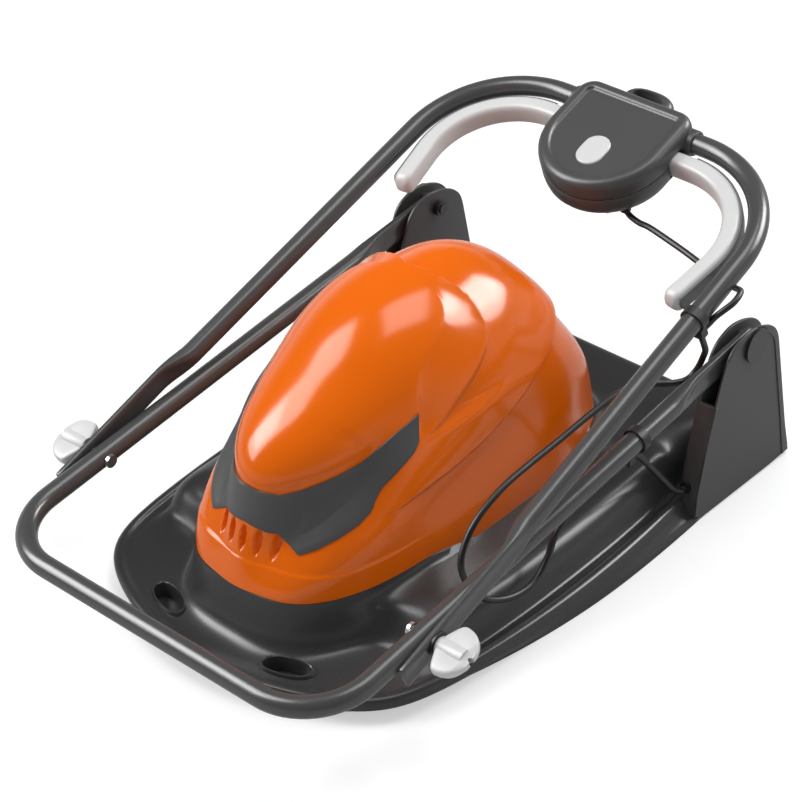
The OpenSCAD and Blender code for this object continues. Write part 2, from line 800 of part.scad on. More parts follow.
module carbon_brushes() {
    color(black)
        both_sides()
            translate([14.5, -4, can_z + can_h - 16])
                cube([can_r - can_wall - 14.9, 8, 9]);
}

module terminal_block() {
    color(pale)
        translate([52, -14, can_z])
            cube([16, 28, 14]);
}

module motor_shaft() {
    color(steel)
        difference() {
            translate([0, 0, blade_top])
                cylinder(h = can_z + can_h + 8 - blade_top, r = shaft_r);
            translate([0, 0, blade_top - 1])
                cylinder(h = 24, r = fold_r + run_fit);
        }
}

module on_shaft(z, height, radius) {
    translate([0, 0, z])
        difference() {
            cylinder(h = height, r = radius);
            translate([0, 0, -1])
                cylinder(h = height + 2, r = shaft_r + run_fit);
        }
}

module rotor_core() {
    color(copper)
        on_shaft(stack_z, stack_h, core_r);
}

module commutator() {
    color(copper)
        on_shaft(can_z + can_h - 19, 15, 14);
}

module impeller() {
    color(orange)
        difference() {
            union() {
                translate([0, 0, vane_z])
                    cylinder(h = vane_h + 2, r = 18);
                translate([0, 0, vane_z + vane_h - 1])
                    cylinder(h = 3, r = impeller_r);
                for (i = [0 : vane_count - 1])
                    rotate([0, 0, i * 360 / vane_count])
                        translate([16, -1.25, vane_z])
                            cube([impeller_r - 19, 2.5, vane_h]);
            }
            translate([0, 0, vane_z - 5])
                cylinder(h = vane_h + 20, r = shaft_r + run_fit);
        }
}

module blade_spacer() {
    color(orange)
        on_shaft(blade_top, vane_z - blade_top, 20);
}

module cutting_blade() {
    color(steel)
        translate([0, 0, blade_z])
            difference() {
                linear_extrude(height = blade_t)
                    intersection() {
                        square([blade_l, blade_w], center = true);
                        circle(blade_l / 2);
                    }
                translate([0, 0, -1])
                    cylinder(h = blade_t + 2, r = fold_r + run_fit);
            }
}

module blade_bolt() {
    color(steel) {
        translate([0, 0, blade_z - 6])
            cylinder(h = 6, r = 11, $fn = 48);
        translate([0, 0, blade_z - 1])
            cylinder(h = 22, r = fold_r);
    }
}

// Lower handle

module lower_path(radius) {
    both_sides()
        translate([lower_half, 0, 0])
            along_y(lower_corner - lower_reach, 2 - lower_flat, radius);
    both_sides()
        translate([lower_half - lower_corner, lower_corner - lower_reach, 0])
            rotate([0, 0, -90])
                rotate_extrude(angle = 90)
                    translate([lower_corner, 0])
                        circle(radius);
    translate([0, -lower_reach, 0])
        along_x(lower_corner - lower_half, lower_half - lower_corner, radius);
}

module lower_handle_tube() {
    color(tube_grey)
        lower_frame()
            difference() {
                union() {
                    difference() {
                        lower_path(tube_d / 2);
                        lower_path(tube_d / 2 - tube_wall);
                    }
                    both_sides()
                        translate([lower_half - lower_flat_t / 2, 0, 0])
                            rotate([90, 0, 90])
                                linear_extrude(height = lower_flat_t) {
                                    translate([-lower_flat - 10, -9])
                                        square([20, 18]);
                                    translate([-lower_flat, -lower_flat_h / 2])
                                        square([lower_flat, lower_flat_h]);
                                    circle(lower_flat_h / 2);
                                }
                }
                both_sides()
                    along_x(lower_half - 30, lower_half + 30, pivot_r + run_fit);
                both_sides()
                    translate([0, -lower_run, 0])
                        along_x(lower_half - 30, lower_half + 30, fold_r + run_fit);
            }
}

module lower_cable_clip() {
    color(black)
        lower_frame()
            translate([lower_half, clip_y, 0])
                difference() {
                    union() {
                        along_y(-5, 5, tube_d / 2 + 2.5);
                        translate([-16, -5, -38])
                            cube([9, 10, 34]);
                    }
                    along_y(-6, 6, tube_d / 2 + run_fit);
                }
}

module fold_bolts() {
    color(steel)
        both_sides()
            translate([0, fold_y, fold_z]) {
                along_x(lower_half - tube_d / 2 - fold_head_h, lower_half - tube_d / 2, fold_head_r);
                along_x(lower_half - tube_d / 2 - 1, flat_out + washer_t + nut_depth - 9, fold_r);
            }
}

// Upper handle

module upper_path(radius) {
    both_sides()
        translate([upper_half, 0, 0])
            rotate([0, 0, upper_lean]) {
                along_y(upper_flat - 8, leg_end + joint_lap, radius);
                along_y(leg_end - 1, leg_end + 1, radius + seam_step);
            }
    both_sides()
        translate([bend_x, bend_u, 0])
            rotate([0, 0, upper_lean])
                rotate_extrude(angle = 90 - upper_lean)
                    translate([upper_bend, 0])
                        circle(radius);
    translate([0, upper_reach, 0]) {
        along_x(-bend_x - joint_lap, bend_x + joint_lap, radius);
        both_sides()
            along_x(bend_x - 1, bend_x + 1, radius + seam_step);
    }
}

module upper_hollow(radius) {
    both_sides()
        translate([upper_half, 0, 0])
            rotate([0, 0, upper_lean])
                along_y(upper_flat + 14, leg_end - 6, radius);
    translate([0, upper_reach, 0])
        along_x(6 - bend_x, bend_x - 6, radius);
}

module upper_handle_tube() {
    color(tube_grey)
        upper_frame()
            difference() {
                union() {
                    difference() {
                        upper_path(tube_d / 2);
                        upper_hollow(tube_d / 2 - tube_wall);
                    }
                    both_sides()
                        translate([flat_in, 0, 0])
                            rotate([90, 0, 90])
                                linear_extrude(height = upper_flat_t) {
                                    translate([-upper_tail, -upper_flat_h / 2])
                                        square([upper_tail + upper_flat - 4, upper_flat_h]);
                                    translate([upper_flat - 10, -8])
                                        square([20, 16]);
                                }
                }
                both_sides()
                    along_x(flat_in - 1, flat_out + 1, fold_r + run_fit);
            }
}

module fold_washers() {
    color(black)
        both_sides()
            translate([0, fold_y, fold_z])
                difference() {
                    along_x(flat_out, flat_out + washer_t, washer_r);
                    along_x(flat_out - 1, flat_out + washer_t + 1, fold_r + run_fit);
                }
}

module nut_wing_2d() {
    intersection() {
        translate([nut_depth - nut_span, 0])
            circle(nut_span + 1);
        polygon([[1, -4], [nut_span * 0.42, -nut_span], [nut_depth, -nut_span],
            [nut_depth, nut_span], [nut_span * 0.42, nut_span], [1, 4]]);
    }
}

module wing_nut() {
    base = flat_out + washer_t + slide_gap;
    color(pale)
        translate([0, fold_y, fold_z])
            difference() {
                union() {
                    along_x(base, base + nut_depth - 8, nut_hub_r);
                    translate([base, 0, 0])
                        rotate([upper_rise, 0, 0])
                            translate([0, 0, -nut_wing_t / 2])
                                linear_extrude(height = nut_wing_t)
                                    nut_wing_2d();
                }
                along_x(base - 1, base + nut_depth + 1, fold_r + run_fit);
            }
}

module right_wing_nut() {
    wing_nut();
}

module left_wing_nut() {
    mirror([1, 0, 0])
        wing_nut();
}

// Switch box

module box_2d(inset) {
    half = box_half - inset;
    back = box_back - inset;
    corner = box_corner - min(inset, box_corner - 4);
    translate([0, box_mid])
        difference() {
            circle(half);
            translate([-half - 1, 1])
                square([2 * half + 2, half]);
        }
    translate([-half, box_mid])
        square([2 * half, back - corner - box_mid]);
    translate([corner - half, box_mid])
        square([2 * (half - corner), back - box_mid]);
    translate([corner - half, back - corner])
        circle(corner);
    translate([half - corner, back - corner])
        circle(corner);
}

module box_cuts() {
    translate([0, upper_reach, 0])
        along_x(-box_half - 30, box_half + 30, tube_d / 2 + run_fit);
    both_sides()
        translate([box_half - 14, lever_u - lever_t / 2 - 5, -lever_drop - lever_h / 2 - 1])
            cube([20, lever_t + 12, lever_h + 2]);
}

module collar() {
    both_sides()
        translate([0, upper_reach, 0])
            along_x(box_half - 4, box_half + collar_w, collar_r);
}

module pin_boss(z0, z1) {
    both_sides()
        translate([lever_hinge, lever_u, z0])
            difference() {
                cylinder(h = z1 - z0, r = 6.5);
                translate([0, 0, -1])
                    cylinder(h = z1 - z0 + 2, r = lever_pin_r + run_fit);
            }
}

module tube_cradle(z0, z1) {
    for (x = [-30, 24])
        translate([x, upper_reach - 20, z0])
            cube([6, box_back - 2 - upper_reach + 20, z1 - z0]);
}

module switch_box_top() {
    lid = box_up - box_wall;
    color(tube_grey)
        upper_frame() {
            difference() {
                union() {
                    difference() {
                        linear_extrude(height = box_up)
                            box_2d(0);
                        translate([0, 0, -1])
                            linear_extrude(height = lid + 1 - border_h)
                                box_2d(box_wall);
                        translate([0, 0, box_up - border_h])
                            linear_extrude(height = border_h + 1)
                                box_2d(border_in);
                    }
                    tube_cradle(0, lid - border_h + 1);
                    intersection() {
                        collar();
                        translate([-200, 0, 0])
                            cube([400, 900, 60]);
                    }
                }
                box_cuts();
                translate([0, button_u, -1])
                    linear_extrude(height = 60)
                        slot_2d(button_r + slide_gap, button_l + 2 * slide_gap);
            }
            pin_boss(lever_h / 2 - lever_drop + slide_gap, lid - border_h + 0.5);
        }
}

module switch_box_base() {
    color(tube_grey)
        upper_frame() {
            difference() {
                union() {
                    difference() {
                        translate([0, 0, -box_down])
                            linear_extrude(height = box_down)
                                box_2d(0);
                        translate([0, 0, box_wall - box_down])
                            linear_extrude(height = box_down)
                                box_2d(box_wall);
                    }
                    tube_cradle(box_wall - box_down - 1, 0);
                    intersection() {
                        collar();
                        translate([-200, 0, -60])
                            cube([400, 900, 60]);
                    }
                }
                box_cuts();
                for (x = [-screw_x, screw_x])
                    translate([x, screw_u, -box_down - 1])
                        cylinder(h = 10, r = 2 + run_fit);
            }
            pin_boss(box_wall - box_down - 0.5, -lever_h / 2 - lever_drop - slide_gap);
        }
}

module switch_box_screws() {
    color(steel)
        upper_frame()
            for (x = [-screw_x, screw_x])
                translate([x, screw_u, 0]) {
                    translate([0, 0, -box_down - 2.5])
                        cylinder(h = 2.5, r = 4);
                    translate([0, 0, -box_down - 1])
                        cylinder(h = box_down - 4, r = 2);
                }
}

module switch_block() {
    color(black)
        upper_frame()
            translate([-20, box_mid - 6, box_wall - box_down])
                cube([40, 24, 18]);
}

module cable_hook() {
    color(tube_grey)
        upper_frame()
            translate([0, 0, -10])
                linear_extrude(height = 20)
                    difference() {
                        union() {
                            translate([-hook_half - hook_r, box_back])
                                square([2 * (hook_half + hook_r), hook_off]);
                            translate([-hook_half, box_back + hook_off])
                                circle(hook_r);
                            translate([hook_half, box_back + hook_off])
                                circle(hook_r);
                            translate([-hook_half, box_back])
                                square([2 * hook_half, hook_off + hook_r]);
                        }
                        translate([-40, box_back - 30])
                            square([80, 30]);
                        translate([0, box_back + hook_off])
                            rotate([0, 0, 90])
                                slot_2d(hook_hole_r, 2 * (hook_half + hook_hole_r) - 8);
                    }
}

module box_gland() {
    color(black)
        upper_frame()
            translate([gland_x, gland_u, -32])
                cylinder(h = 32 - box_down, r = 6);
}

module upper_cable_clip() {
    color(black)
        upper_frame()
            translate([upper_half, 0, 0])
                rotate([0, 0, upper_lean])
                    translate([0, clip_u, 0])
                        difference() {
                            union() {
                                along_y(-5, 5, tube_d / 2 + 2.5);
                                translate([-1, -5, -24])
                                    cube([10, 10, 15]);
                            }
                            along_y(-6, 6, tube_d / 2 + run_fit);
                        }
}

module lever_pins() {
    color(steel)
        upper_frame()
            both_sides()
                translate([lever_hinge, lever_u, box_wall - box_down])
                    cylinder(h = box_up + box_down - 2 * box_wall - border_h, r = lever_pin_r);
}

module lock_off_button() {
    color(pale)
        upper_frame()
            translate([0, button_u, 0]) {
                translate([0, 0, 8])
                    linear_extrude(height = box_up - border_h + 2 - 8)
                        slot_2d(button_r, button_l);
                translate([0, 0, 8])
                    linear_extrude(height = 3)
                        slot_2d(button_r + 3, button_l + 6);
            }
}

// Levers

module bar_2d(depth, height) {
    round_r = depth * 0.28;
    square([depth, height - 2 * round_r], center = true);
    square([depth - 2 * round_r, height], center = true);
    for (x = [-1, 1])
        for (y = [-1, 1])
            translate([x * (depth / 2 - round_r), y * (height / 2 - round_r)])
                circle(round_r);
}

module lever_body() {
    color(pale)
        upper_frame()
            translate([0, 0, -lever_drop])
                difference() {
                    union() {
                        translate([bend_x, bend_u, 0]) {
                            rotate([0, 0, -lever_turn])
                                rotate_extrude(angle = 90 + lever_turn)
                                    translate([lever_run, 0])
                                        bar_2d(lever_t, lever_h);
                            rotate([0, 0, -lever_turn])
                                translate([lever_run, joint_lap, 0])
                                    rotate([90, 0, 0])
                                        linear_extrude(height = lever_tail + joint_lap)
                                            bar_2d(lever_t, lever_h);
                            rotate([0, 0, -lever_turn])
                                translate([lever_run, 1, 0])
                                    rotate([90, 0, 0])
                                        linear_extrude(height = 2)
                                            bar_2d(lever_t + 2 * seam_step, lever_h + 2 * seam_step);
                        }
                        translate([box_half - 12, lever_u, 0])
                            rotate([90, 0, 90])
                                linear_extrude(height = bend_x - box_half + 12 + joint_lap)
                                    bar_2d(lever_t, lever_h);
                        translate([bend_x - 1, lever_u, 0])
                            rotate([90, 0, 90])
                                linear_extrude(height = 2)
                                    bar_2d(lever_t + 2 * seam_step, lever_h + 2 * seam_step);
                        translate([lever_hinge, lever_u - 3, -lever_h / 2 + 2])
                            cube([box_half - lever_hinge - 8, 6, lever_h - 4]);
                        translate([lever_hinge, lever_u, -lever_h / 2])
                            cylinder(h = lever_h, r = 7);
                    }
                    translate([lever_hinge, lever_u, -lever_h])
                        cylinder(h = 2 * lever_h, r = lever_pin_r + run_fit);
                }
}

module lever_liner() {
    color(tube_grey)
        upper_frame()
            translate([bend_x, bend_u, -lever_drop]) {
                rotate([0, 0, -lever_turn])
                    rotate_extrude(angle = 84 + lever_turn)
                        translate([lever_run + lever_t / 2, -liner_h / 2])
                            square([liner_t, liner_h]);
                rotate([0, 0, -lever_turn])
                    translate([lever_run + lever_t / 2, 6 - lever_tail, -liner_h / 2])
                        cube([liner_t, lever_tail - 6, liner_h]);
            }
}

module right_lever() {
    lever_body();
}

module right_lever_liner() {
    lever_liner();
}

module left_lever() {
    mirror([1, 0, 0])
        lever_body();
}

module left_lever_liner() {
    mirror([1, 0, 0])
        lever_liner();
}

// Cord

module lead_upper() {
    color(black)
        upper_frame()
            swept([for (p = upper_route) [gland_x + p[0] * (upper_half - gland_x),
                clip_u + p[1] * (gland_u - clip_u), p[2]]], cord_d / 2, 10);
}

module lead_loop() {
    color(black)
        swept(concat(loop_start, beside_leg(loop_route), loop_end), cord_d / 2, 10);
}

module lead_lower() {
    color(black)
        swept(concat(lower_start, beside_leg(lower_route), lower_end), cord_d / 2, 10);
}

deck_shell();
ground_rim();
left_handle_bracket();
right_handle_bracket();
motor_hood();
hood_trim();
hood_screws();
motor_mount_plate();
plate_screws();
motor_can();
stator_core();
upper_end_plate();
upper_bearing();
lower_bearing();
carbon_brushes();
terminal_block();
deck_gland();
pivot_bolts();
pivot_nuts();
pivot_bushes();
lower_handle_tube();
lower_cable_clip();
fold_bolts();
upper_handle_tube();
fold_washers();
switch_box_top();
switch_box_base();
switch_box_screws();
switch_block();
cable_hook();
box_gland();
upper_cable_clip();
lever_pins();
left_wing_nut();
right_wing_nut();
left_lever();
left_lever_liner();
right_lever();
right_lever_liner();
lock_off_button();
motor_shaft();
rotor_core();
commutator();
impeller();
blade_spacer();
cutting_blade();
blade_bolt();
lead_upper();
lead_loop();
lead_lower();
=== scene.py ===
# %% [markdown]
# # A hover mower with its handle folded over the deck
# The mower floats on a cushion of air, so it has no wheels. A dark skirted deck stands on
# its rim, an orange hood covers the motor, and a handle made of two bent tubes is folded
# flat over both. The solids of the machine are loaded first as a fixed frame. Each cell
# then dresses one piece, in the same place and at the same size.

# %% Load the frame
import math
import bpy
import numpy as np
from mathutils import Matrix, Vector


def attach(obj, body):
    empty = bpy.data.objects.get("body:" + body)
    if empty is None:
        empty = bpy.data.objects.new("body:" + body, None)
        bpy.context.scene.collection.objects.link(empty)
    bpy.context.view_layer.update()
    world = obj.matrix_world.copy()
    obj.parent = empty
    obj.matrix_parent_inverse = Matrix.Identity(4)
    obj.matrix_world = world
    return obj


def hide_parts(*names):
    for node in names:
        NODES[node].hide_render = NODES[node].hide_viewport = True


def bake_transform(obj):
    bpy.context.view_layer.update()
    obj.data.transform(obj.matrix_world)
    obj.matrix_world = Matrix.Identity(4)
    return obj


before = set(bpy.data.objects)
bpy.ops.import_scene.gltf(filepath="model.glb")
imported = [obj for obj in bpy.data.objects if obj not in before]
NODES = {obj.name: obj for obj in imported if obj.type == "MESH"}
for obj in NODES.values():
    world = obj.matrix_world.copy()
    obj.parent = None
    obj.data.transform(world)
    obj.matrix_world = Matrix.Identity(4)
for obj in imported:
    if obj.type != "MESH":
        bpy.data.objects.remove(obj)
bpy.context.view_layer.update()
MM = 0.001
for solid in NODES.values():
    solid.select_set(False)

# %% [markdown]
# ## Camera
# The picture was taken from above the front right corner with a long lens, so the
# edges stay nearly parallel. A long lens far away keeps the same look: the angles below set
# the direction, and the distance and lens set the size in the frame.

# %% Camera
AZIMUTH = math.radians(41.043)
ELEVATION = math.radians(34.633)
eye = bpy.data.cameras.new("view_camera")
eye.sensor_width = 36.0
eye.lens = 111.78
eye.clip_end = 50
camera = bpy.data.objects.new("view_camera", eye)
camera.location = (1.3405, -1.5866, 1.5724)
camera.rotation_euler = (math.pi / 2 - ELEVATION, 0, AZIMUTH)
bpy.context.scene.collection.objects.link(camera)
bpy.context.scene.camera = camera
print("camera at", tuple(camera.location), "lens", eye.lens)

# %% [markdown]
# ## Floor and light
# A studio sweep is a plain pale floor under soft lamps. The world is white to the camera, and
# reflections see a white backdrop behind the machine that fades upwards into a dim ceiling.
# The lamps stay at a plain level, so that the plastics keep the colours they are given. A
# tall card at the front left draws the long streak on the hood, and one behind on the right
# draws the streaks on the tubes and on the deck's shoulder. Both cards show in reflections
# alone.

# %% Floor and light


def add_node(tree, kind, settings=None, **sockets):
    """Adds one node; a socket takes a value, or a node's output to link."""
    made = tree.nodes.new(kind)
    for key, value in (settings or {}).items():
        setattr(made, key, value)
    for key, value in sockets.items():
        name = key.replace("_", " ")
        target = made.inputs[int(key[1:])] if key[1:].isdigit() else made.inputs[name]
        if isinstance(value, bpy.types.NodeSocket):
            tree.links.new(value, target)
        else:
            target.default_value = value
    return made


def linear(hex_colour):
    """Turns an sRGB hex colour into the linear values that the shader wants."""
    parts = [int(hex_colour[i:i + 2], 16) / 255 for i in (1, 3, 5)]
    return [p / 12.92 if p <= 0.04045 else ((p + 0.055) / 1.055) ** 2.4 for p in parts] + [1.0]


def empty_tree(owner):
    owner.use_nodes = True
    owner.node_tree.nodes.clear()
    return owner.node_tree


world = bpy.data.worlds.new("studio")
bpy.context.scene.world = world
tree = empty_tree(world)
rays = add_node(tree, "ShaderNodeLightPath")
seen = add_node(tree, "ShaderNodeMath", {"operation": "MAXIMUM"},
                i0=rays.outputs["Is Camera Ray"], i1=rays.outputs["Is Transmission Ray"])
sky = add_node(tree, "ShaderNodeTexCoord").outputs["Generated"]
way = add_node(tree, "ShaderNodeSeparateXYZ", Vector=sky)
fade = add_node(tree, "ShaderNodeMapRange", Value=way.outputs["Z"],
                From_Min=0.05, From_Max=0.35, To_Min=1.0, To_Max=0.1)
behind = add_node(tree, "ShaderNodeMapRange", Value=way.outputs["Y"],
                  From_Min=-0.3, From_Max=0.3, To_Min=0.12, To_Max=1.0)
shown = add_node(tree, "ShaderNodeMath", {"operation": "MULTIPLY"}, i0=fade.outputs[0], i1=behind.outputs[0])
soft = add_node(tree, "ShaderNodeBackground", Color=linear("#F4F5F7"), Strength=0.55)
backdrop = add_node(tree, "ShaderNodeBackground", Color=(1, 1, 1, 1), Strength=shown.outputs[0])
white = add_node(tree, "ShaderNodeBackground", Color=(1, 1, 1, 1), Strength=1.0)
room = add_node(tree, "ShaderNodeMixShader", i0=rays.outputs["Is Glossy Ray"],
                i1=soft.outputs[0], i2=backdrop.outputs[0])
either = add_node(tree, "ShaderNodeMixShader", i0=seen.outputs[0], i1=room.outputs[0], i2=white.outputs[0])
add_node(tree, "ShaderNodeOutputWorld", Surface=either.outputs[0])

bpy.ops.mesh.primitive_plane_add(size=14, location=(0, 0, -0.0004))
floor = bpy.context.object
floor.name = "studio_floor"
paper = bpy.data.materials.new("white_paper_floor")
tree = empty_tree(paper)
rays = add_node(tree, "ShaderNodeLightPath")
matt = add_node(tree, "ShaderNodeBsdfDiffuse", Color=linear("#CCCCCC"))
glow = add_node(tree, "ShaderNodeEmission", Color=(1, 1, 1, 1), Strength=0.48)
lit = add_node(tree, "ShaderNodeAddShader", i0=matt.outputs[0], i1=glow.outputs[0])
either = add_node(tree, "ShaderNodeMixShader", i0=rays.outputs["Is Camera Ray"],
                  i1=matt.outputs[0], i2=lit.outputs[0])
add_node(tree, "ShaderNodeOutputMaterial", Surface=either.outputs[0])
floor.data.materials.append(paper)


def soft_box(name, place, aim, size, power, lights=True):
    """A lamp with a soft face; one that doesn't light the scene shows in reflections alone."""
    lamp = bpy.data.lights.new(name, "AREA")
    lamp.shape = "RECTANGLE"
    lamp.size, lamp.size_y = size
    lamp.energy = power
    box = bpy.data.objects.new(name, lamp)
    box.location = place
    box.rotation_euler = (Vector(aim) - Vector(place)).to_track_quat("-Z", "Y").to_euler()
    box.visible_diffuse = lights
    bpy.context.scene.collection.objects.link(box)


soft_box("key_softbox", (-2.0, -1.7, 2.1), (0, -0.1, 0.15), (1.2, 1.6), 50)
soft_box("top_softbox", (0.3, 0.6, 3.0), (0, 0, 0.1), (1.4, 1.4), 32)
soft_box("rear_softbox", (1.0, 2.2, 2.1), (0, 0, 0.1), (0.9, 1.2), 22)
soft_box("streak_card", (-1.8, -1.6, 2.2), (0, -0.1, 0.15), (1.7, 3.4), 170, lights=False)
soft_box("rear_card", (1.2, 2.2, 1.9), (0, 0, 0.1), (1.6, 1.4), 90, lights=False)
bpy.context.scene.view_settings.view_transform = "Standard"

# %% [markdown]
# ## Finishes
# The hood is glossy ABS, moulded against a polished tool. The deck, trim and switch box are
# polypropylene with a fine spark-eroded grain. The handle is steel tube with a satin powder
# coat, the levers and nuts are pale ABS, and the screws are zinc plated. Each finish
# is a Principled shader with a little variation in colour, gloss and height, on a scale in
# millimetres. Grain of about 0.3 mm is too fine for the picture, so it is drawn near 1 mm.

# %% Finishes


def moulded(name, colour, rough, grain_mm, grain, mottle_mm=60, mottle=0.05, shine=0.5, metal=0.0):
    """A moulded, painted or plated surface: base colour, soft mottle, fine grain and gloss."""
    material = bpy.data.materials.new(name)
    tree = empty_tree(material)
    place = add_node(tree, "ShaderNodeTexCoord").outputs["Object"]
    cloud = add_node(tree, "ShaderNodeTexNoise", Vector=place, Scale=1000 / mottle_mm, Detail=3.0)
    fine = add_node(tree, "ShaderNodeTexNoise", Vector=place, Scale=1000 / grain_mm, Detail=2.0)
    base = linear(colour)
    dark = [c * (1 - mottle) for c in base[:3]] + [1.0]
    light = [min(1, c * (1 + mottle)) for c in base[:3]] + [1.0]
    tint = add_node(tree, "ShaderNodeMix", {"data_type": "RGBA"}, Factor=cloud.outputs["Fac"])
    tint.inputs[6].default_value = dark
    tint.inputs[7].default_value = light
    gloss = add_node(tree, "ShaderNodeMapRange", Value=fine.outputs["Fac"], To_Min=rough * 0.9,
                     To_Max=rough * 1.12)
    bump = add_node(tree, "ShaderNodeBump", Strength=grain, Distance=0.0003,
                    Height=fine.outputs["Fac"])
    shader = add_node(tree, "ShaderNodeBsdfPrincipled", Base_Color=tint.outputs[2],
                      Roughness=gloss.outputs[0], Normal=bump.outputs[0], Metallic=metal)
    shader.inputs["Specular IOR Level"].default_value = shine
    add_node(tree, "ShaderNodeOutputMaterial", Surface=shader.outputs[0])
    return material


# A polished tool leaves long, clear highlights on a deep colour.
ORANGE = moulded("glossy_orange_abs", "#E66604", 0.16, 2.5, 0.012, 90, 0.03, shine=0.38)
# Polypropylene from a finely eroded tool has a broad, soft sheen.
CHARCOAL = moulded("charcoal_polypropylene", "#383838", 0.28, 1.1, 0.05, 70, 0.06, shine=0.35)
TRIM = moulded("grey_trim_polypropylene", "#4C4C4D", 0.4, 0.9, 0.1, 50, 0.05, shine=0.35)
# Baked powder flows out smooth, so a tube shows one narrow streak along its length.
TUBE = moulded("satin_powder_coat", "#484848", 0.24, 1.4, 0.02, 40, 0.05, shine=0.5)
# Box and brackets are grained more coarsely, and look nearly matt.
BOX = moulded("grey_box_polypropylene", "#464646", 0.36, 0.9, 0.1, 50, 0.05, shine=0.45)
BRACKET = moulded("bracket_polypropylene", "#454545", 0.4, 1.0, 0.1, 60, 0.06, shine=0.35)
# Pale ABS scatters the light, so its edges look soft. The liner is the same, darker and duller.
PALE = moulded("pale_grey_abs", "#CECECD", 0.40, 1.0, 0.06, 40, 0.02)
LINER = moulded("grey_liner_plastic", "#6A6A6B", 0.5, 1.0, 0.12, 30, 0.05)
# Nylon clips and the PVC sheath of the lead are black with a dull shine.
BLACK = moulded("black_nylon", "#1A1A1B", 0.45, 0.9, 0.12, 20, 0.08)
RUBBER = moulded("black_pvc_sheath", "#161617", 0.42, 1.2, 0.10, 30, 0.08)
# Painted, plated, laminated and ground metals: the smoother the surface, the sharper its glints.
DARK_STEEL = moulded("black_painted_steel", "#2A2A2B", 0.34, 0.8, 0.05, 12, 0.06)
ZINC = moulded("zinc_plated_steel", "#C9CACB", 0.30, 0.8, 0.05, 12, 0.06, metal=1.0)
IRON = moulded("laminated_iron", "#6B6866", 0.5, 0.8, 0.2, 6, 0.1, metal=1.0)
COPPER = moulded("copper_bars", "#C88A5A", 0.32, 0.6, 0.1, 6, 0.1, metal=1.0)
CARBON = moulded("pressed_carbon", "#202022", 0.6, 0.8, 0.2, 8, 0.1)
FAN = moulded("orange_impeller_plastic", "#D8590C", 0.42, 1.0, 0.1, 40, 0.05)
BLADE = moulded("ground_blade_steel", "#B4B5B7", 0.34, 0.7, 0.12, 10, 0.08, metal=1.0)
print("finishes", len(bpy.data.materials))

# %% [markdown]
# ## Helpers for making a piece
# Most pieces here are swept or moulded, so they are skinned from a row of rings, each ring a
# loop of points in millimetres. A hand modeller would place circles and bridge them. One
# helper does this bridging, and one hands the finished mesh to its body.

# %% Helpers


def alone(piece):
    """Selects one piece and nothing else."""
    bpy.ops.object.select_all(action="DESELECT")
    piece.select_set(True)
    bpy.context.view_layer.objects.active = piece


def skinned(name, rings, ends=True, loop=False):
    """Bridges a row of rings into one mesh; ends closes it, loop joins last to first."""
    rings = np.asarray(rings, dtype=float)
    count, sides = rings.shape[:2]
    faces = []
    for k in range(count if loop else count - 1):
        n = (k + 1) % count
        for i in range(sides):
            j = (i + 1) % sides
            faces.append((k * sides + i, k * sides + j, n * sides + j, n * sides + i))
    if ends and not loop:
        faces.append(tuple(range(sides - 1, -1, -1)))
        faces.append(tuple((count - 1) * sides + i for i in range(sides)))
    mesh = bpy.data.meshes.new(name)
    mesh.from_pydata((rings.reshape(-1, 3) * MM).tolist(), [], faces)
    piece = bpy.data.objects.new(name, mesh)
    bpy.context.scene.collection.objects.link(piece)
    outwards(piece)
    return piece


def outwards(piece):
    """Merges doubles and turns every face outwards."""
    alone(piece)
    bpy.ops.object.mode_set(mode="EDIT")
    bpy.ops.mesh.select_all(action="SELECT")
    bpy.ops.mesh.remove_doubles(threshold=1e-6)
    bpy.ops.mesh.normals_make_consistent(inside=False)
    bpy.ops.object.mode_set(mode="OBJECT")


def modified(piece, kind, **settings):
    """Adds a modifier with its settings and applies it."""
    alone(piece)
    modifier = piece.modifiers.new(kind.lower(), kind)
    for key, value in settings.items():
        setattr(modifier, key, value)
    bpy.ops.object.modifier_apply(modifier=modifier.name)


def cut(piece, cutter):
    """Takes the cutter's shape out of the piece."""
    modified(piece, "BOOLEAN", operation="DIFFERENCE", object=cutter, solver="EXACT")
    bpy.data.objects.remove(cutter)


def joined(name, parts):
    """Joins several meshes into the first one."""
    alone(parts[0])
    for part in parts[1:]:
        part.select_set(True)
    bpy.ops.object.join()
    parts[0].name = parts[0].data.name = name
    return parts[0]


def settle(piece, body, material, nodes=(), smooth=35):
    """Shades the piece, gives it its finish and lets it ride on its body."""
    alone(piece)
    bpy.ops.object.shade_smooth_by_angle(angle=math.radians(smooth))
    piece.data.materials.clear()
    piece.data.materials.append(material)
    if body:
        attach(piece, body)
    if nodes:
        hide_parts(*nodes)
    piece.select_set(False)
    return piece


def mirrored(piece, name):
    """A copy of a right hand piece for the left side, with its own mesh."""
    twin = bpy.data.objects.new(name, piece.data.copy())
    bpy.context.scene.collection.objects.link(twin)
    twin.data.transform(Matrix.Scale(-1, 4, (1, 0, 0)))
    twin.data.flip_normals()
    return twin


def superellipse(a, b, power, sides=40):
    """Points of a rounded section, half sizes a and b."""
    turn = np.linspace(0, 2 * math.pi, sides, endpoint=False)
    c, s = np.cos(turn), np.sin(turn)
    return np.stack([a * np.sign(c) * abs(c) ** (2 / power), b * np.sign(s) * abs(s) ** (2 / power)], 1)


def smoothstep(low, high, value):
    t = np.clip((value - low) / (high - low), 0, 1)
    return t * t * (3 - 2 * t)


# Places of the two hinges, along the machine and above the ground, and the slopes of the handles.
PIVOT = (245.7, 180.6)
FOLD = (-260, 110.5)
RISE = math.radians(20.05)
SLOPE = math.atan2(PIVOT[1] - FOLD[1], PIVOT[0] - FOLD[0])


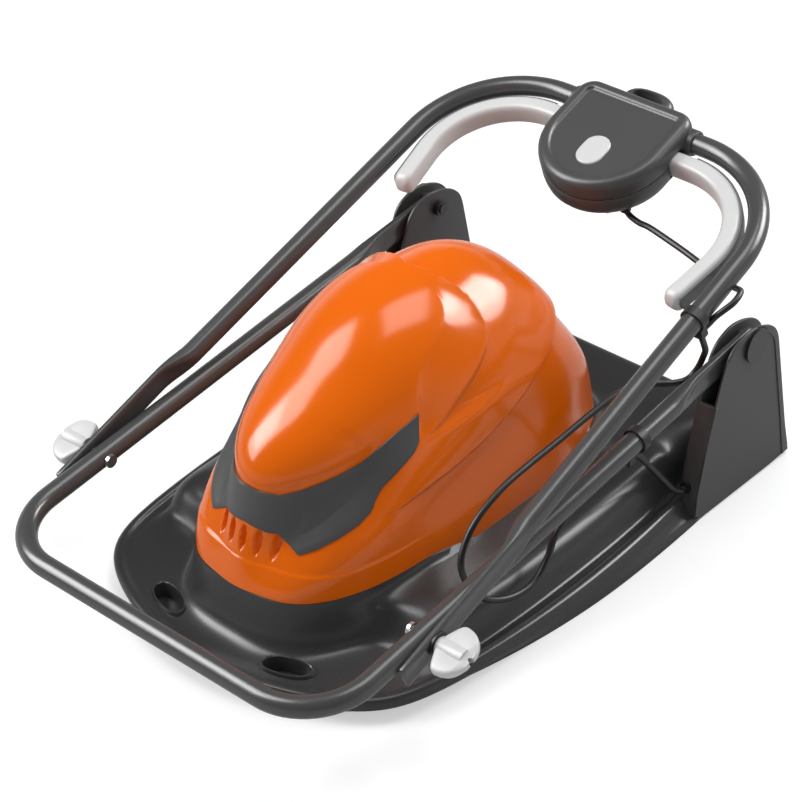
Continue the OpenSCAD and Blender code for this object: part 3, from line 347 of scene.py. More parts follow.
def tilted(points, angle, y, z):
    """Turns points about the cross axis and sets them down at a place."""
    p = np.asarray(points, dtype=float)
    c, s = math.cos(angle), math.sin(angle)
    return np.stack([p[..., 0], y + p[..., 1] * c - p[..., 2] * s, z + p[..., 1] * s + p[..., 2] * c], -1)


def upper_at(points):
    """From the upper handle's own plane (across, along, above) to the machine."""
    return tilted(points, RISE, *FOLD)


def lower_at(points):
    """From the lower handle's own plane, counted from its pivot, to the machine."""
    return tilted(points, SLOPE, *PIVOT)


print("handle slopes", round(math.degrees(RISE), 2), round(math.degrees(SLOPE), 2))

# %% [markdown]
# ## The lead
# A black mains-type lead, 6.6 mm thick, runs from the switch box to a clip on the upper
# handle, hangs in a loop beside the hood while the handle is folded, passes a clip on the
# lower handle and ends in a gland at the deck. A curve with a round bevel would do for a still
# picture. Here each free stretch is skinned from rings along a smooth line. A stretch that
# crosses a hinge is fixed in place and rides on no body.

# %% The lead
CORD = 6.6
upper_route = upper_at([(44, 540, -32), (50, 538, -37), (64, 535, -38), (81, 532, -35), (118, 524, -34),
                        (142, 519, -35), (165, 512, -33), (186, 505, -28), (204, 497, -21),
                        (216, 492, -16), (226, 487, -9), (233, 481, -2), (236, 473, 0), (236, 463, 0),
                        (232, 453, -2), (227, 445, -6), (222, 439, -13), (218, 434, -18)])
clip_x = 226.5 - 430 * math.sin(math.radians(1.15))
loop_route = np.concatenate([
    upper_at([(clip_x, 430, -24), (clip_x, 430, -28)]),
    [(215, 162, 220), (211, 172, 206), (204, 181, 192), (198, 181, 174), (193, 172, 163),
     (188, 154, 165), (184, 125, 177), (181, 95, 187), (180, 70, 192), (177, 30, 187),
     (175, -15, 180), (173, -60, 174), (172, -100, 167), (172, -135, 152), (173, -155, 132),
     (177, -164, 112), (184, -158, 88), (190, -142, 69), (195, -120, 58), (198, -95, 54),
     (198, -72, 58), (197, -55, 74), (196, -42, 94), (196, -20, 107), (197, 8, 114), (198, 34, 118)],
    lower_at([(199.5, -200, -33), (199.5, -195, -33), (199.5, -189, -33)])])
lower_route = np.concatenate([
    lower_at([(199.5, -179, -33), (199.5, -175, -33)]),
    [(199, 89, 113), (200, 108, 90), (202, 128, 65), (205, 143, 47), (208, 154, 40), (208, 157, 40),
     (208, 160, 40)]])


def eased(route, steps):
    """A smooth line through the points of a route."""
    route = np.asarray(route)
    line = []
    for i in range(len(route) - 1):
        a, b = route[max(0, i - 1)], route[i]
        c, d = route[i + 1], route[min(len(route) - 1, i + 2)]
        for s in np.arange(steps) / steps:
            line.append(0.5 * (2 * b + (c - a) * s + (2 * a - 5 * b + 4 * c - d) * s * s
                               + (3 * b - a - 3 * c + d) * s ** 3))
    line.append(route[-1])
    return np.array(line)


def tube_rings(line, section):
    """Places a section across each point of a line without letting it twist."""
    line = np.asarray(line)
    tangent = np.gradient(line, axis=0)
    tangent /= np.linalg.norm(tangent, axis=1)[:, None]
    side = np.cross(tangent[0], (0, 0, 1.0) if abs(tangent[0][2]) < 0.8 else (1.0, 0, 0))
    rings = []
    for p, t in zip(line, tangent):
        side = side - t * np.dot(side, t)
        side /= np.linalg.norm(side)
        other = np.cross(t, side)
        rings.append(p + section[:, :1] * side + section[:, 1:] * other)
    return rings


loop_line = eased(loop_route, 6)
turning = int(np.argmin(loop_line[:, 1]))
stretches = [("lead_along_grip", eased(upper_route, 6), "lead_upper", "upper_handle", None),
             ("lead_beside_hood", loop_line[:turning + 1], "lead_loop", None,
              ("upper_handle", "lower_handle")),
             ("lead_back_to_clip", loop_line[turning:], None, "lower_handle", None),
             ("lead_to_deck", eased(lower_route, 6), "lead_lower", None, ("lower_handle", "deck"))]
for name, line, node, body, bodies in stretches:
    lead = skinned(name, tube_rings(line, superellipse(CORD / 2, CORD / 2, 2, 20)))
    settle(lead, body, RUBBER, [node] if node else [])
    if bodies:
        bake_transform(lead)

# %% [markdown]
# ## The motor hood
# The hood is one glossy moulding: a long body with nearly upright walls, a rear dome and an
# egg-shaped front lobe that leans forwards. Sculpting it by eye would take hours, so it is
# described as three rounded forms whose outermost skin is kept. The body rises from a soft
# shoulder as a steep roof that runs into the lobes. Rays from a point on the seat find that
# skin, with rings gathered near the shoulder.

# %% Hood form
SEAT_Z = 77.0
MID_Y = -30.0
HOOD_MID = np.array([0, MID_Y, SEAT_Z])
WALL_POWER = 3.1
WALL_HALF = 115.6


def soft_max(a, b, power):
    """The larger of two values with a rounded change; a negative power gives the smaller."""
    return (a ** power + b ** power) ** (1 / power)


def lobe(x, y, z, yc, zc, a, b, c, tilt, flare):
    """A tilted half egg on a flared skirt: 1 on its skin, less inside."""
    sin, cos = math.sin(math.radians(tilt)), math.cos(math.radians(tilt))
    Y, Z = y - yc, z - zc
    up = cos * Z - sin * Y
    above = np.sqrt((x / a) ** 2 + ((cos * Y + sin * Z) / b) ** 2 + (up / c) ** 2)
    below = np.sqrt((x / a) ** 2 + (Y / (b * cos)) ** 2)
    below = below / (1 + flare * np.maximum(0, Y * sin / cos - Z))
    return np.where(up > 0, above, below)


def belt_height(y):
    """Height of the soft shoulder where the walls end, along the machine."""
    return (np.minimum(187.8 + 0.362 * y, 166) - 0.0023 * np.maximum(0, -202.8 - y) ** 2
            - 0.0067 * np.maximum(0, y - 79.5) ** 2)


def wall_ratio(x, y, z):
    """The nearly upright walls: 1 on the wall, less inside."""
    h = np.clip((z - SEAT_Z) / 150, 0, 1)
    half = WALL_HALF - (4.1 - 3.5 * smoothstep(30, 120, -y)) * h
    reach = np.where(y > MID_Y, 227.6 - 39 * h, 257.7 - 1.7 * h)
    return soft_max(abs(x) / half, abs(y - MID_Y) / reach, WALL_POWER)


def body_ratio(x, y, z):
    """The walls, closed above the belt by a rounded roof that is highest in the middle."""
    rise = 88.1 + 41.1 * smoothstep(-205, -145, y) + 4.2 * smoothstep(-88.2, 106.2, y)
    return soft_max(wall_ratio(x, y, z), np.maximum(0, z - belt_height(y)) / rise, 2.03)


def lobes_ratio(x, y, z):
    dome = lobe(x, y, z, -38.3, 197.7, 108.8, 163.3, 118.8, 4.2, 0.0003)
    visor = lobe(x, y, z, -105.4, 221, 79.3, 163.1, 64.2, 16, 0.0018)
    return soft_max(dome, visor, -20)


def hood_ratio(x, y, z):
    return soft_max(body_ratio(x, y, z), lobes_ratio(x, y, z), -50)


def ray(turn, tilt):
    """Directions from the seat for a turn about the upright and a tilt above the seat."""
    return np.stack([np.cos(tilt) * np.cos(turn), np.cos(tilt) * np.sin(turn), np.sin(tilt)], -1)


def hood_reach(turn, tilt):
    """Distance along each ray to the skin, found by halving."""
    d = ray(turn, tilt)
    low, high = np.full(d.shape[:-1], 60.0), np.full(d.shape[:-1], 345.0)
    for _ in range(26):
        middle = (low + high) / 2
        inside = hood_ratio(*(HOOD_MID + d * middle[..., None]).transpose(-1, *range(d.ndim - 1))) < 1
        low, high = np.where(inside, middle, low), np.where(inside, high, middle)
    return (low + high) / 2


def hood_point(turn, tilt, out=0.0):
    return HOOD_MID + ray(turn, tilt) * (hood_reach(turn, tilt) + out)[..., None]


# The edge where the dome ends on the body: angle from the front, and tilt above the seat.
DOME_EDGE = np.array([(0, 19), (20, 20), (35.7, 22.6), (41.8, 26.4), (51.5, 30.9), (67.8, 37), (88.6, 42.1),
                      (102.5, 43.8), (114.3, 45), (124.7, 45.4), (139.9, 45.9), (180, 46.5)])
front_turns = np.arange(-100, -80, 0.25)
turn = np.radians(np.concatenate([np.arange(-180, -100), front_turns, np.arange(-80, 180)]))
from_front = np.degrees(np.arctan2(abs(np.cos(turn)), -np.sin(turn)))
edge = np.radians(np.interp(from_front, *DOME_EDGE.T))
tilts = [edge * (1 - (1 - f) ** 1.4) for f in np.linspace(0, 1, 81)]
tilts += [edge + (math.pi / 2 - edge) * f ** 1.3 for f in np.linspace(0, 1, 93)[1:-1]]
tilts = np.array(tilts)
spread = np.broadcast_to(turn, tilts.shape)
print("hood rings", tilts.shape)

# %% [markdown]
# The front lobe is a cap with an edge of its own: behind it the skin steps down to the dome,
# and its flanks are scooped out below a soft crease. Both lines are given as a few points in
# plan, as a distance from the middle of the cap for each direction. The body is set back
# under the edge of the dome. Five leaf-shaped louvres sit below the trim, and the front of the
# hood stands on a slightly proud band. At each side the wall reaches down into a hollow of
# the deck.

# %% Hood relief
CAP_EDGE = np.array([(0, -33, 316.5), (11, -31.7, 316.2), (40.8, -22.1, 308), (65.3, -15.2, 292.2),
                     (83.4, -16.9, 273.3), (91, -25.8, 262.6), (97.5, -45.3, 249.8), (100.8, -80.1, 230),
                     (100.3, -102.8, 215), (97.4, -131.4, 204.6)])
CAP_MID_Y = -110
CAP_STEP = 9
FLANK_SCOOP = 10
BAND_PROUD = 1.4
SET_BACK = 7
LOUVRE_DEEP = 6
HOLLOW_DEEP = 15
CAP_FLANK = np.array([(18.4, -46.1), (35.3, -45.2), (51.8, -46.9), (61, -53.2), (65.7, -58.7), (69.9, -76.7),
                      (72.4, -94.1), (75.2, -106), (77.9, -111.9), (83.7, -118.7), (88.3, -123.9)])
LOUVRES = (-33, -16.5, 0, 16.5, 33)


def from_cap(x, y):
    """Direction and distance in plan from the middle of the cap, the same on both sides."""
    return np.degrees(np.arctan2(abs(x), y - CAP_MID_Y)), np.hypot(x, y - CAP_MID_Y)


def near_line(points, line):
    """Least distance from points to a line of short straight pieces."""
    best = np.full(points.shape[:-1], 1e9)
    for a, b in zip(line[:-1], line[1:]):
        way = b - a
        along = np.clip(((points - a) @ way) / (way @ way), 0, 1)
        best = np.minimum(best, np.linalg.norm(points - a - along[..., None] * way, axis=-1))
    return best


def hood_relief(points):
    """How far the skin stands out from the plain form, in millimetres."""
    x, y, z = points[..., 0], points[..., 1], points[..., 2]
    angle, away = from_cap(x, y)
    edge = np.interp(angle, *from_cap(*CAP_EDGE.T[:2]))
    flank = np.interp(angle, *from_cap(*CAP_FLANK.T))
    far = near_line(np.stack([abs(x), y, z], -1), CAP_EDGE)
    step = -CAP_STEP * smoothstep(0, 5, far) * np.exp(-(np.maximum(0, far - 5) / 46) ** 2)
    relief = np.where((away > edge) & (z > 200), step * smoothstep(200, 225, z), 0)
    share = np.clip((away - flank) / np.maximum(1, edge - flank), 0, 1)
    along_flank = smoothstep(12, 45, angle) * (1 - smoothstep(99, 103, angle)) * (z > 200)
    relief -= FLANK_SCOOP * share * (1 - share) * along_flank
    relief += BAND_PROUD * (1 - smoothstep(103, 106, z)) * smoothstep(120, 200, -y)
    bearing = np.degrees(np.arctan2(abs(x), MID_Y - y))
    tilt = np.degrees(np.arctan2(z - SEAT_Z, np.hypot(x, y - MID_Y)))
    under = np.interp(bearing, *DOME_EDGE.T) - tilt
    set_back = smoothstep(0, 1.5, under) * (1 - smoothstep(5, 28, under))
    relief -= SET_BACK * set_back * smoothstep(30, 56, bearing)
    for middle in LOUVRES:
        leaf = np.hypot((x - middle) / (4.6 + 0.06 * (z - 124)), (z - 124) / 15)
        relief -= np.where(y < -200, LOUVRE_DEEP * (1 - smoothstep(0.5, 1, leaf)), 0)
    return relief


def side_hollow(y):
    """How far the hollow beside the hood is open, from 0 to 1 along the machine."""
    return smoothstep(-140, -50, y) * (1 - smoothstep(100, 160, y))


hood_grid = hood_point(spread, tilts)
hood_grid += ray(spread, tilts) * hood_relief(hood_grid)[..., None]
low_share = 1 - smoothstep(SEAT_Z, 150, hood_grid[..., 2])
at_side = smoothstep(85, 108, abs(hood_grid[..., 0]))
hood_grid[..., 2] -= HOLLOW_DEEP * low_share * side_hollow(hood_grid[..., 1]) * at_side
print("relief from", round(hood_relief(hood_grid).min(), 1), "mm")

# %% [markdown]
# The rings are bridged into one skin, closed at the crown. At the seat its edge turns inwards,
# so that the hood looks like a moulding with a wall.

# %% Hood skin
rim = hood_grid[0]
outline = rim - HOOD_MID
inward = lambda mm: rim - outline * (mm / np.linalg.norm(outline, axis=1))[:, None]
crown = np.broadcast_to(hood_point(np.array([0.0]), np.array([math.pi / 2]))[0], rim.shape)
hood = skinned("motor_hood_skin", np.concatenate([[inward(14), inward(1.2)], hood_grid, [crown]]), ends=False)
alone(hood)
bpy.ops.object.mode_set(mode="EDIT")
bpy.ops.mesh.select_all(action="SELECT")
bpy.ops.mesh.remove_doubles(threshold=1e-5)
bpy.ops.object.mode_set(mode="OBJECT")
settle(hood, "deck", ORANGE, ["motor_hood"], smooth=60)
print("hood faces", len(hood.data.polygons))

# %% [markdown]
# ## The grey trim
# A satin grey visor wraps the front of the hood. It is a patch of the hood's own skin, lifted
# by two millimetres, so it is sampled from the same form between its upper and lower edges.

# %% Trim
# Both edges are given for one side: angle from the front and tilt above the seat, in degrees.
trim_upper = [(0, 23.4), (3.2, 23.2), (7.4, 23.7), (11.4, 25.6), (14.7, 27.7), (19.5, 31), (24.6, 35.1),
              (29.7, 39.7), (35.2, 44.2), (43.6, 49.5)]
trim_lower = [(0, 15), (6.3, 14.2), (8, 14.5), (9.7, 13.1), (13.8, 10.7), (17.9, 12.8), (22.4, 15.8),
              (26.7, 19.2), (29.3, 22.5), (30.3, 26.3), (31.8, 29.1), (35.2, 32.5), (38.4, 35.7),
              (41.9, 39.1), (43.6, 42)]
TRIM_END = 43.6
across = np.linspace(-TRIM_END, TRIM_END, 181)
low_edge = np.interp(abs(across), *np.array(trim_lower).T)
top_edge = np.interp(abs(across), *np.array(trim_upper).T)
loops = []
for share, out in ((0.0, -2), (0.0, 1.4), (0.03, 2.2), (0.12, 2.3), (0.3, 2.3), (0.5, 2.3), (0.7, 2.3),
                   (0.88, 2.3), (0.97, 2.2), (1.0, 1.4), (1.0, -2)):
    tilt = np.radians(low_edge + (top_edge - low_edge) * share)
    loops.append(hood_point(np.radians(across - 90), tilt, out))
trim = skinned("hood_trim_band", np.array(loops).transpose(1, 0, 2))
settle(trim, "deck", TRIM, ["hood_trim"], smooth=40)
print("trim faces", len(trim.data.polygons))

# %% [markdown]
# ## The deck
# The deck is one thin dark moulding. Seen in section it starts at the ground, flares in to a
# rolled rim, drops into a gutter and climbs to the shelf that carries the hood. The section
# changes around the machine: low and wide in front, tall behind, and hollow beside the hood.
# It is skinned from sections at close angles, each blended from a side, a front and a rear
# section.

# %% Deck form
# Plans of the ground edge and of the rolled rim: half width, where it is widest, how fast the
# sides fall away in front and behind, front reach, roundness of the front and rear reach.
SKIRT = (226, 45, 0.00055, 0.00025, 335, 0.0019, 298)
BEAD = (213, -20, 0.00035, 0.00035, 345, 0.0019, 289)


def plan_ratio(x, y, form):
    """1 on the outline of a plan, less inside."""
    half, mid, fall_f, fall_r, front, round_f, rear = form
    side = abs(x) / (half - np.where(y < mid, fall_f, fall_r) * (y - mid) ** 2)
    ahead = np.where(y < 0, -y / (front - round_f * x * x), 0)
    behind = np.where(y > 0, y / rear, 0)
    return (side ** 14 + ahead ** 14 + behind ** 14) ** (1 / 14)


def seat_ratio(x, y):
    """The outline of the seat of the hood, in the same way."""
    reach = np.where(y < MID_Y, 257.7, 225.3)
    return soft_max(abs(x) / WALL_HALF, abs(y - MID_Y) / reach, WALL_POWER)


def plan_reach(turn, ratio):
    """Distance from the middle of the deck to an outline, for each direction."""
    low, high = np.full(turn.shape, 40.0), np.full(turn.shape, 460.0)
    for _ in range(30):
        middle = (low + high) / 2
        inside = ratio(middle * np.cos(turn), middle * np.sin(turn)) < 1
        low, high = np.where(inside, middle, low), np.where(inside, high, middle)
    return (low + high) / 2


# Each row is (outline, inset, height) at the side, in front and behind.
DECK_ROWS = [
    ((0, 0, 0), (0, 0, 0), (0, 0, 0)),
    ((0, 0, 1.5), (0, 0, 1.5), (0, 0, 1.5)),
    ((1, 8, 13), (1, 3, 13), (1, 6, 16)),
    ((1, 6, 23), (1, 5, 22), (1, 3, 34)),
    ((1, 3, 26.2), (1, 3, 26.2), (1, 0, 50)),
    ((1, -3, 27), (1, -2, 27), (1, -3, 61)),
    ((1, -8, 22.5), (1, -8, 23.5), (1, -8, 66)),
    ((1, -16, 22.5), (1, -16, 22.5), (1, -16, 67)),
    ((1, -20, 31), (2, 30, 23.5), (1, -26, 67)),
    ((1, -25, 45), (2, 16, 28), (1, -38, 67)),
    ((1, -36, 58.5), (2, 9, 42), (2, 34, 67)),
    ((1, -56, 67), (2, 6, 58), (2, 20, 67)),
    ((2, 4.5, 69), (2, 4.5, 68), (2, 9, 69)),
    ((2, 3, 77), (2, 3, 77), (2, 3, 77)),
    ((2, -18, 77), (2, -18, 77), (2, -18, 77)),
    ((3, 0, 77), (3, 0, 77), (3, 0, 77))]
HOLLOW_DROP = (0, 0, 0, 0, 0, 0, 0, 0, 0, 0, 0, 5, 7, 15, 15, 0)
DECK_SIDES = 300
MOTOR_HOLE = 72.0
DECK_WALL = 3.0
turn = np.arange(DECK_SIDES) * 2 * math.pi / DECK_SIDES
plans = [plan_reach(turn, lambda x, y: plan_ratio(x, y, SKIRT)),
         plan_reach(turn, lambda x, y: plan_ratio(x, y, BEAD)),
         plan_reach(turn, seat_ratio), np.full(turn.shape, MOTOR_HOLE)]
front = smoothstep(0.7, 0.95, -np.sin(turn))
rear = smoothstep(0.7, 0.84, np.sin(turn))
weights = (1 - front - rear, front, rear)
section = np.array([[sum(w * (plans[r[0]] + r[1]) for w, r in zip(weights, row)),
                     sum(w * r[2] for w, r in zip(weights, row))] for row in DECK_ROWS])
beside = side_hollow(plans[2] * np.sin(turn)) * weights[0]
section[:, 1] -= np.array(HOLLOW_DROP)[:, None] * beside


def rounded(section, keep):
    """Rounds each corner of the section by cutting it with a short curve."""
    rows = [section[0]]
    for k in range(1, len(section) - 1):
        before, here, after = section[k - 1], section[k], section[k + 1]
        if k in keep:
            rows.append(here)
            continue
        a = here + (before - here) * 0.5
        b = here + (after - here) * 0.5
        for t in (0.0, 0.25, 0.5, 0.75):
            rows.append((1 - t) ** 2 * a + 2 * t * (1 - t) * here + t * t * b)
    rows.append(section[-1])
    return np.array(rows)


smooth_section = rounded(section, (1, 13, 14))
step = np.gradient(smooth_section, axis=0)
step /= np.linalg.norm(step, axis=1)[:, None]
inside = smooth_section + DECK_WALL * np.stack([-step[:, 1], step[:, 0]], 1)
inside[0] = smooth_section[0] - np.array([DECK_WALL, 0.0])[:, None]
inside[-1] = smooth_section[-1] - np.array([0.0, DECK_WALL])[:, None]
inside[:, 1] = np.maximum(inside[:, 1], 0)
walls = np.concatenate([smooth_section, inside[::-1]])
deck_rings = np.stack([walls[:, 0] * np.cos(turn), walls[:, 0] * np.sin(turn), walls[:, 1]], -1)
deck = skinned("deck_moulding", deck_rings, loop=True)
print("deck rings", deck_rings.shape[:2])

# %% [markdown]
# Two oval slots with raised rims are let into the front of the deck. Each is cut with an oval
# prism, and a cup with a rolled lip, skinned from a row of ovals, is set into the cut.

# %% Front slots


def slot_ring(mirror, size, z):
    """An oval beside the front edge of the deck, turned along that edge."""
    oval = superellipse(25 * size, 13 * size, 2.3, 56)
    return [(79 * mirror + x, -302 + y + 0.3 * mirror * x, z) for x, y in oval]


slots = []
for mirror in (1, -1):
    cut(deck, skinned("slot_cutter", [slot_ring(mirror, 0.9, z) for z in (8, 45)]))
    rows = ((0.98, 6), (1.1, 20), (1.08, 24.6), (1.02, 26.4), (0.96, 26.6), (0.91, 25.8), (0.89, 23),
            (0.84, 9))
    slots.append(skinned("slot_rim", [slot_ring(mirror, size, z) for size, z in rows]))
settle(deck, "deck", CHARCOAL, ["deck_shell", "ground_rim"], smooth=50)
rims = joined("front_slot_rims", slots)
settle(rims, "deck", CHARCOAL, smooth=40)
print("deck faces", len(deck.data.polygons), "rims", len(rims.data.polygons))

# %% [markdown]
# ## The handle tubes
# Both handles are 22 mm steel tube, bent cold, with ends crushed flat in a press where the
# bolts pass. A crushed end is still the same sheet of metal: it gets thinner and taller, with
# a shallow valley along its middle. A section that changes from round to flat is carried
# along the line of each tube.

# %% Handle tubes


TUBE_R = 11


def crushed(share, thick, tall, sides=40):
    """A round tube section at share 0, and a pressed flat one at share 1."""
    half = TUBE_R + (thick / 2 - TUBE_R) * share
    high = TUBE_R + (tall / 2 - TUBE_R) * share
    outline = superellipse(half, high, 2 + 3 * share, sides)
    valley = 1 - 0.3 * share * np.exp(-(outline[:, 1] / 5.5) ** 2)
    outline[:, 0] *= valley
    return outline


def bent_tube(stations):
    """The rings of a tube; a station is a centre, the way it runs, its crush, thickness and height."""
    rings = []
    for centre, way, share, thick, tall in stations:
        way = np.array(way, float) / np.linalg.norm(way)
        side = np.array([way[1], -way[0], 0])
        flat = crushed(share, thick, tall)
        rings.append(np.array(centre) + flat[:, :1] * side + flat[:, 1:] * np.array([0, 0, 1.0]))
    return rings


def both_ends(half):
    """Adds the mirror image of a half tube, so that it runs from one end to the other."""
    other = [((-c[0], c[1], c[2]), (w[0], -w[1], 0), s, t, h) for c, w, s, t, h in reversed(half)]
    return half + other


LOWER_X = 211
LOWER_LEG = 583.4
LOWER_BEND = 70
LOWER_PRESS = (8, 28)
stations = []
for a in np.linspace(0.1, math.pi / 2, 9):
    tall = LOWER_PRESS[1] * max(0.12, math.sin(a))
    stations.append(((LOWER_X, 14 * math.cos(a), 0), (0, -1, 0), 1, LOWER_PRESS[0], tall))
for y in np.linspace(-6, -78, 8):
    stations.append(((LOWER_X, y, 0), (0, -1, 0), 1, *LOWER_PRESS))
for f in np.linspace(0, 1, 13):
    stations.append(((LOWER_X, -84 - 46 * f, 0), (0, -1, 0), 1 - float(smoothstep(0, 1, f)), *LOWER_PRESS))
for y in np.linspace(-150, -LOWER_LEG, 16):
    stations.append(((LOWER_X, y, 0), (0, -1, 0), 0, *LOWER_PRESS))
for a in np.linspace(0, math.pi / 2, 17)[1:]:
    x = LOWER_X - LOWER_BEND * (1 - math.cos(a))
    stations.append(((x, -LOWER_LEG - LOWER_BEND * math.sin(a), 0), (-math.sin(a), -math.cos(a), 0), 0,
                     *LOWER_PRESS))
for x in np.linspace(120, 0, 6):
    stations.append(((x, -LOWER_LEG - LOWER_BEND, 0), (-1, 0, 0), 0, *LOWER_PRESS))
lower_tube = skinned("lower_handle_bow", lower_at(bent_tube(both_ends(stations))))
settle(lower_tube, "lower_handle", TUBE, ["lower_handle_tube"], smooth=50)

LEAN = math.radians(1.15)
UPPER_X = 222.5
PRESSED_X = 225.9
UPPER_PRESS = (7, 26)
UPPER_BEND = 119.8
BEND_U = 507.4
BEND_X = UPPER_X - math.tan(LEAN) * BEND_U - UPPER_BEND / math.cos(LEAN)
leg_x = lambda u: UPPER_X - math.tan(LEAN) * u
stations = []
for f in (0.0, 0.3, 0.6, 1.0):
    less = 2 * (1 - f) ** 2
    stations.append(((PRESSED_X, -46 + 2 * f, 0), (0, 1, 0), 1, UPPER_PRESS[0] - less, UPPER_PRESS[1] - less))
for u in np.linspace(-36, 96, 12):
    stations.append(((PRESSED_X, u, 0), (0, 1, 0), 1, *UPPER_PRESS))
for f in np.linspace(0, 1, 15):
    s = float(smoothstep(0, 1, f))
    u = 102 + 48 * f
    x = PRESSED_X + (leg_x(u) - PRESSED_X) * s
    stations.append(((x, u, 0), (-math.tan(LEAN) * s, 1, 0), 1 - s, *UPPER_PRESS))
for u in np.linspace(170, BEND_U + 2, 14):
    stations.append(((leg_x(u), u, 0), (-math.tan(LEAN), 1, 0), 0, *UPPER_PRESS))
for a in np.linspace(LEAN, math.pi / 2, 30)[1:]:
    stations.append(((BEND_X + UPPER_BEND * math.cos(a), BEND_U + UPPER_BEND * math.sin(a), 0),
                     (-math.sin(a), math.cos(a), 0), 0, *UPPER_PRESS))
for x in np.linspace(BEND_X - 12, 0, 6):
    stations.append(((x, BEND_U + UPPER_BEND, 0), (-1, 0, 0), 0, *UPPER_PRESS))
upper_tube = skinned("upper_handle_bow", upper_at(bent_tube(both_ends(stations))))
settle(upper_tube, "upper_handle", TUBE, ["upper_handle_tube"], smooth=50)
print("tubes", len(lower_tube.data.polygons), len(upper_tube.data.polygons))

# %% [markdown]
# ## The handle brackets
# Each bracket is a tall moulded ear: an inner and an outer wall joined by a front and a rear
# web, with a shallow round pocket for the pivot cap. A wall is drawn as one flat face,
# extruded to its thickness and bevelled; the pocket and the bores are cut out afterwards.

# %% Brackets
EAR = [(160, 8), (161, 35), (171, 88), (187, 155), (196, 182), (206, 195), (228, 203.5), (250, 201),
       (271, 193), (283, 183), (289, 171), (320, 44), (332, 4), (300, 2), (176, 2)]


def plate(name, outline, x0, x1, bevel=0.8):
    """A flat outline in the side plane, extruded across and bevelled."""
    mesh = bpy.data.meshes.new(name)
    mesh.from_pydata([(x0 * MM, y * MM, z * MM) for y, z in outline], [], [tuple(range(len(outline)))])
    piece = bpy.data.objects.new(name, mesh)
    bpy.context.scene.collection.objects.link(piece)
    alone(piece)
    bpy.ops.object.mode_set(mode="EDIT")
    bpy.ops.mesh.select_all(action="SELECT")
    bpy.ops.mesh.extrude_region_move(TRANSFORM_OT_translate={"value": ((x1 - x0) * MM, 0, 0)})
    bpy.ops.mesh.select_all(action="SELECT")
    bpy.ops.mesh.normals_make_consistent(inside=False)
    bpy.ops.object.mode_set(mode="OBJECT")
    if bevel:
        modified(piece, "BEVEL", width=bevel * MM, segments=3, limit_method="ANGLE",
                 angle_limit=math.radians(40))
    return piece


def rounded_line(points, radius, steps=5):
    """An outline whose corners are rounded, so that a plate looks moulded."""
    p = np.array(points, float)
    line = []
    for i in range(len(p)):
        a, b, c = p[i - 1], p[i], p[(i + 1) % len(p)]
        cut_a = min(radius, 0.45 * np.linalg.norm(a - b))
        cut_c = min(radius, 0.45 * np.linalg.norm(c - b))
        start = b + (a - b) / np.linalg.norm(a - b) * cut_a
        stop = b + (c - b) / np.linalg.norm(c - b) * cut_c
        for t in np.linspace(0, 1, steps):
            line.append(tuple((1 - t) ** 2 * start + 2 * t * (1 - t) * b + t * t * stop))
    return line


def rod(name, x0, x1, y, z, radius, sides=64):
    """A straight round bar across the machine."""
    bpy.ops.mesh.primitive_cylinder_add(vertices=sides, radius=radius * MM, depth=abs(x1 - x0) * MM,
                                        location=((x0 + x1) / 2 * MM, y * MM, z * MM),
                                        rotation=(0, math.pi / 2, 0))
    bar = bpy.context.object
    bar.name = name
    bpy.ops.object.transform_apply(location=True, rotation=True, scale=True)
    return bar


EAR_PANEL = [(140, -4), (140, 88), (178, 155), (190, 178), (207, 189), (228, 197), (248, 195), (266, 187),
             (276, 178), (282, 168), (310, 52), (322, -4)]
FRONT_WEB = [(160, 8), (161, 35), (171, 88), (182, 134), (186, 134), (174.5, 88), (164.5, 35), (164, 8)]
BOLT_BORE = 6.1
REAR_WEB = [(297, 134), (320, 44), (332, 4), (328, 3.5), (316.5, 43), (293, 134)]


def handle_bracket():
    """The right bracket: outer wall with its panel and pocket, inner wall and two webs."""
    outer = plate("ear_outer", rounded_line(EAR, 9), 220.5, 224, 1.0)
    cut(outer, plate("ear_panel", rounded_line(EAR_PANEL, 6), 223.0, 230, 0))
    cut(outer, rod("pocket", 222.8, 230, *PIVOT, 20.5))
    cut(outer, rod("bore", 210, 230, *PIVOT, BOLT_BORE))
    inner = plate("ear_inner", rounded_line(EAR, 9), 200.4, 203.9, 1.0)
    cut(inner, rod("bore", 190, 210, *PIVOT, BOLT_BORE))
    front = plate("front_web", FRONT_WEB, 201, 223.4, 0.6)
    back = plate("rear_web", REAR_WEB, 201, 223.4, 0.6)
    return joined("right_bracket_ear", [outer, inner, front, back])


right_bracket = handle_bracket()
left_bracket = mirrored(right_bracket, "left_bracket_ear")
settle(right_bracket, "deck", BRACKET, ["right_handle_bracket"], smooth=35)
settle(left_bracket, "deck", BRACKET, ["left_handle_bracket"], smooth=35)
print("bracket faces", len(right_bracket.data.polygons))

# %% [markdown]
# ## The switch box
# The box that holds the switch is a D-shaped clam shell around the grip tube: a lid with a
# raised border around a sunken face, and a deeper tray below the parting line. The outline is
# carried inwards and upwards as a row of rings, down the outside and back up the inside, and
# the openings for the tube, the levers and the button are then cut out.

# %% Switch box


BOX_HALF = 72
BOX_U = 578
BOX_BACK = 645
GRIP_U = 627.2
BUTTON_U = 557


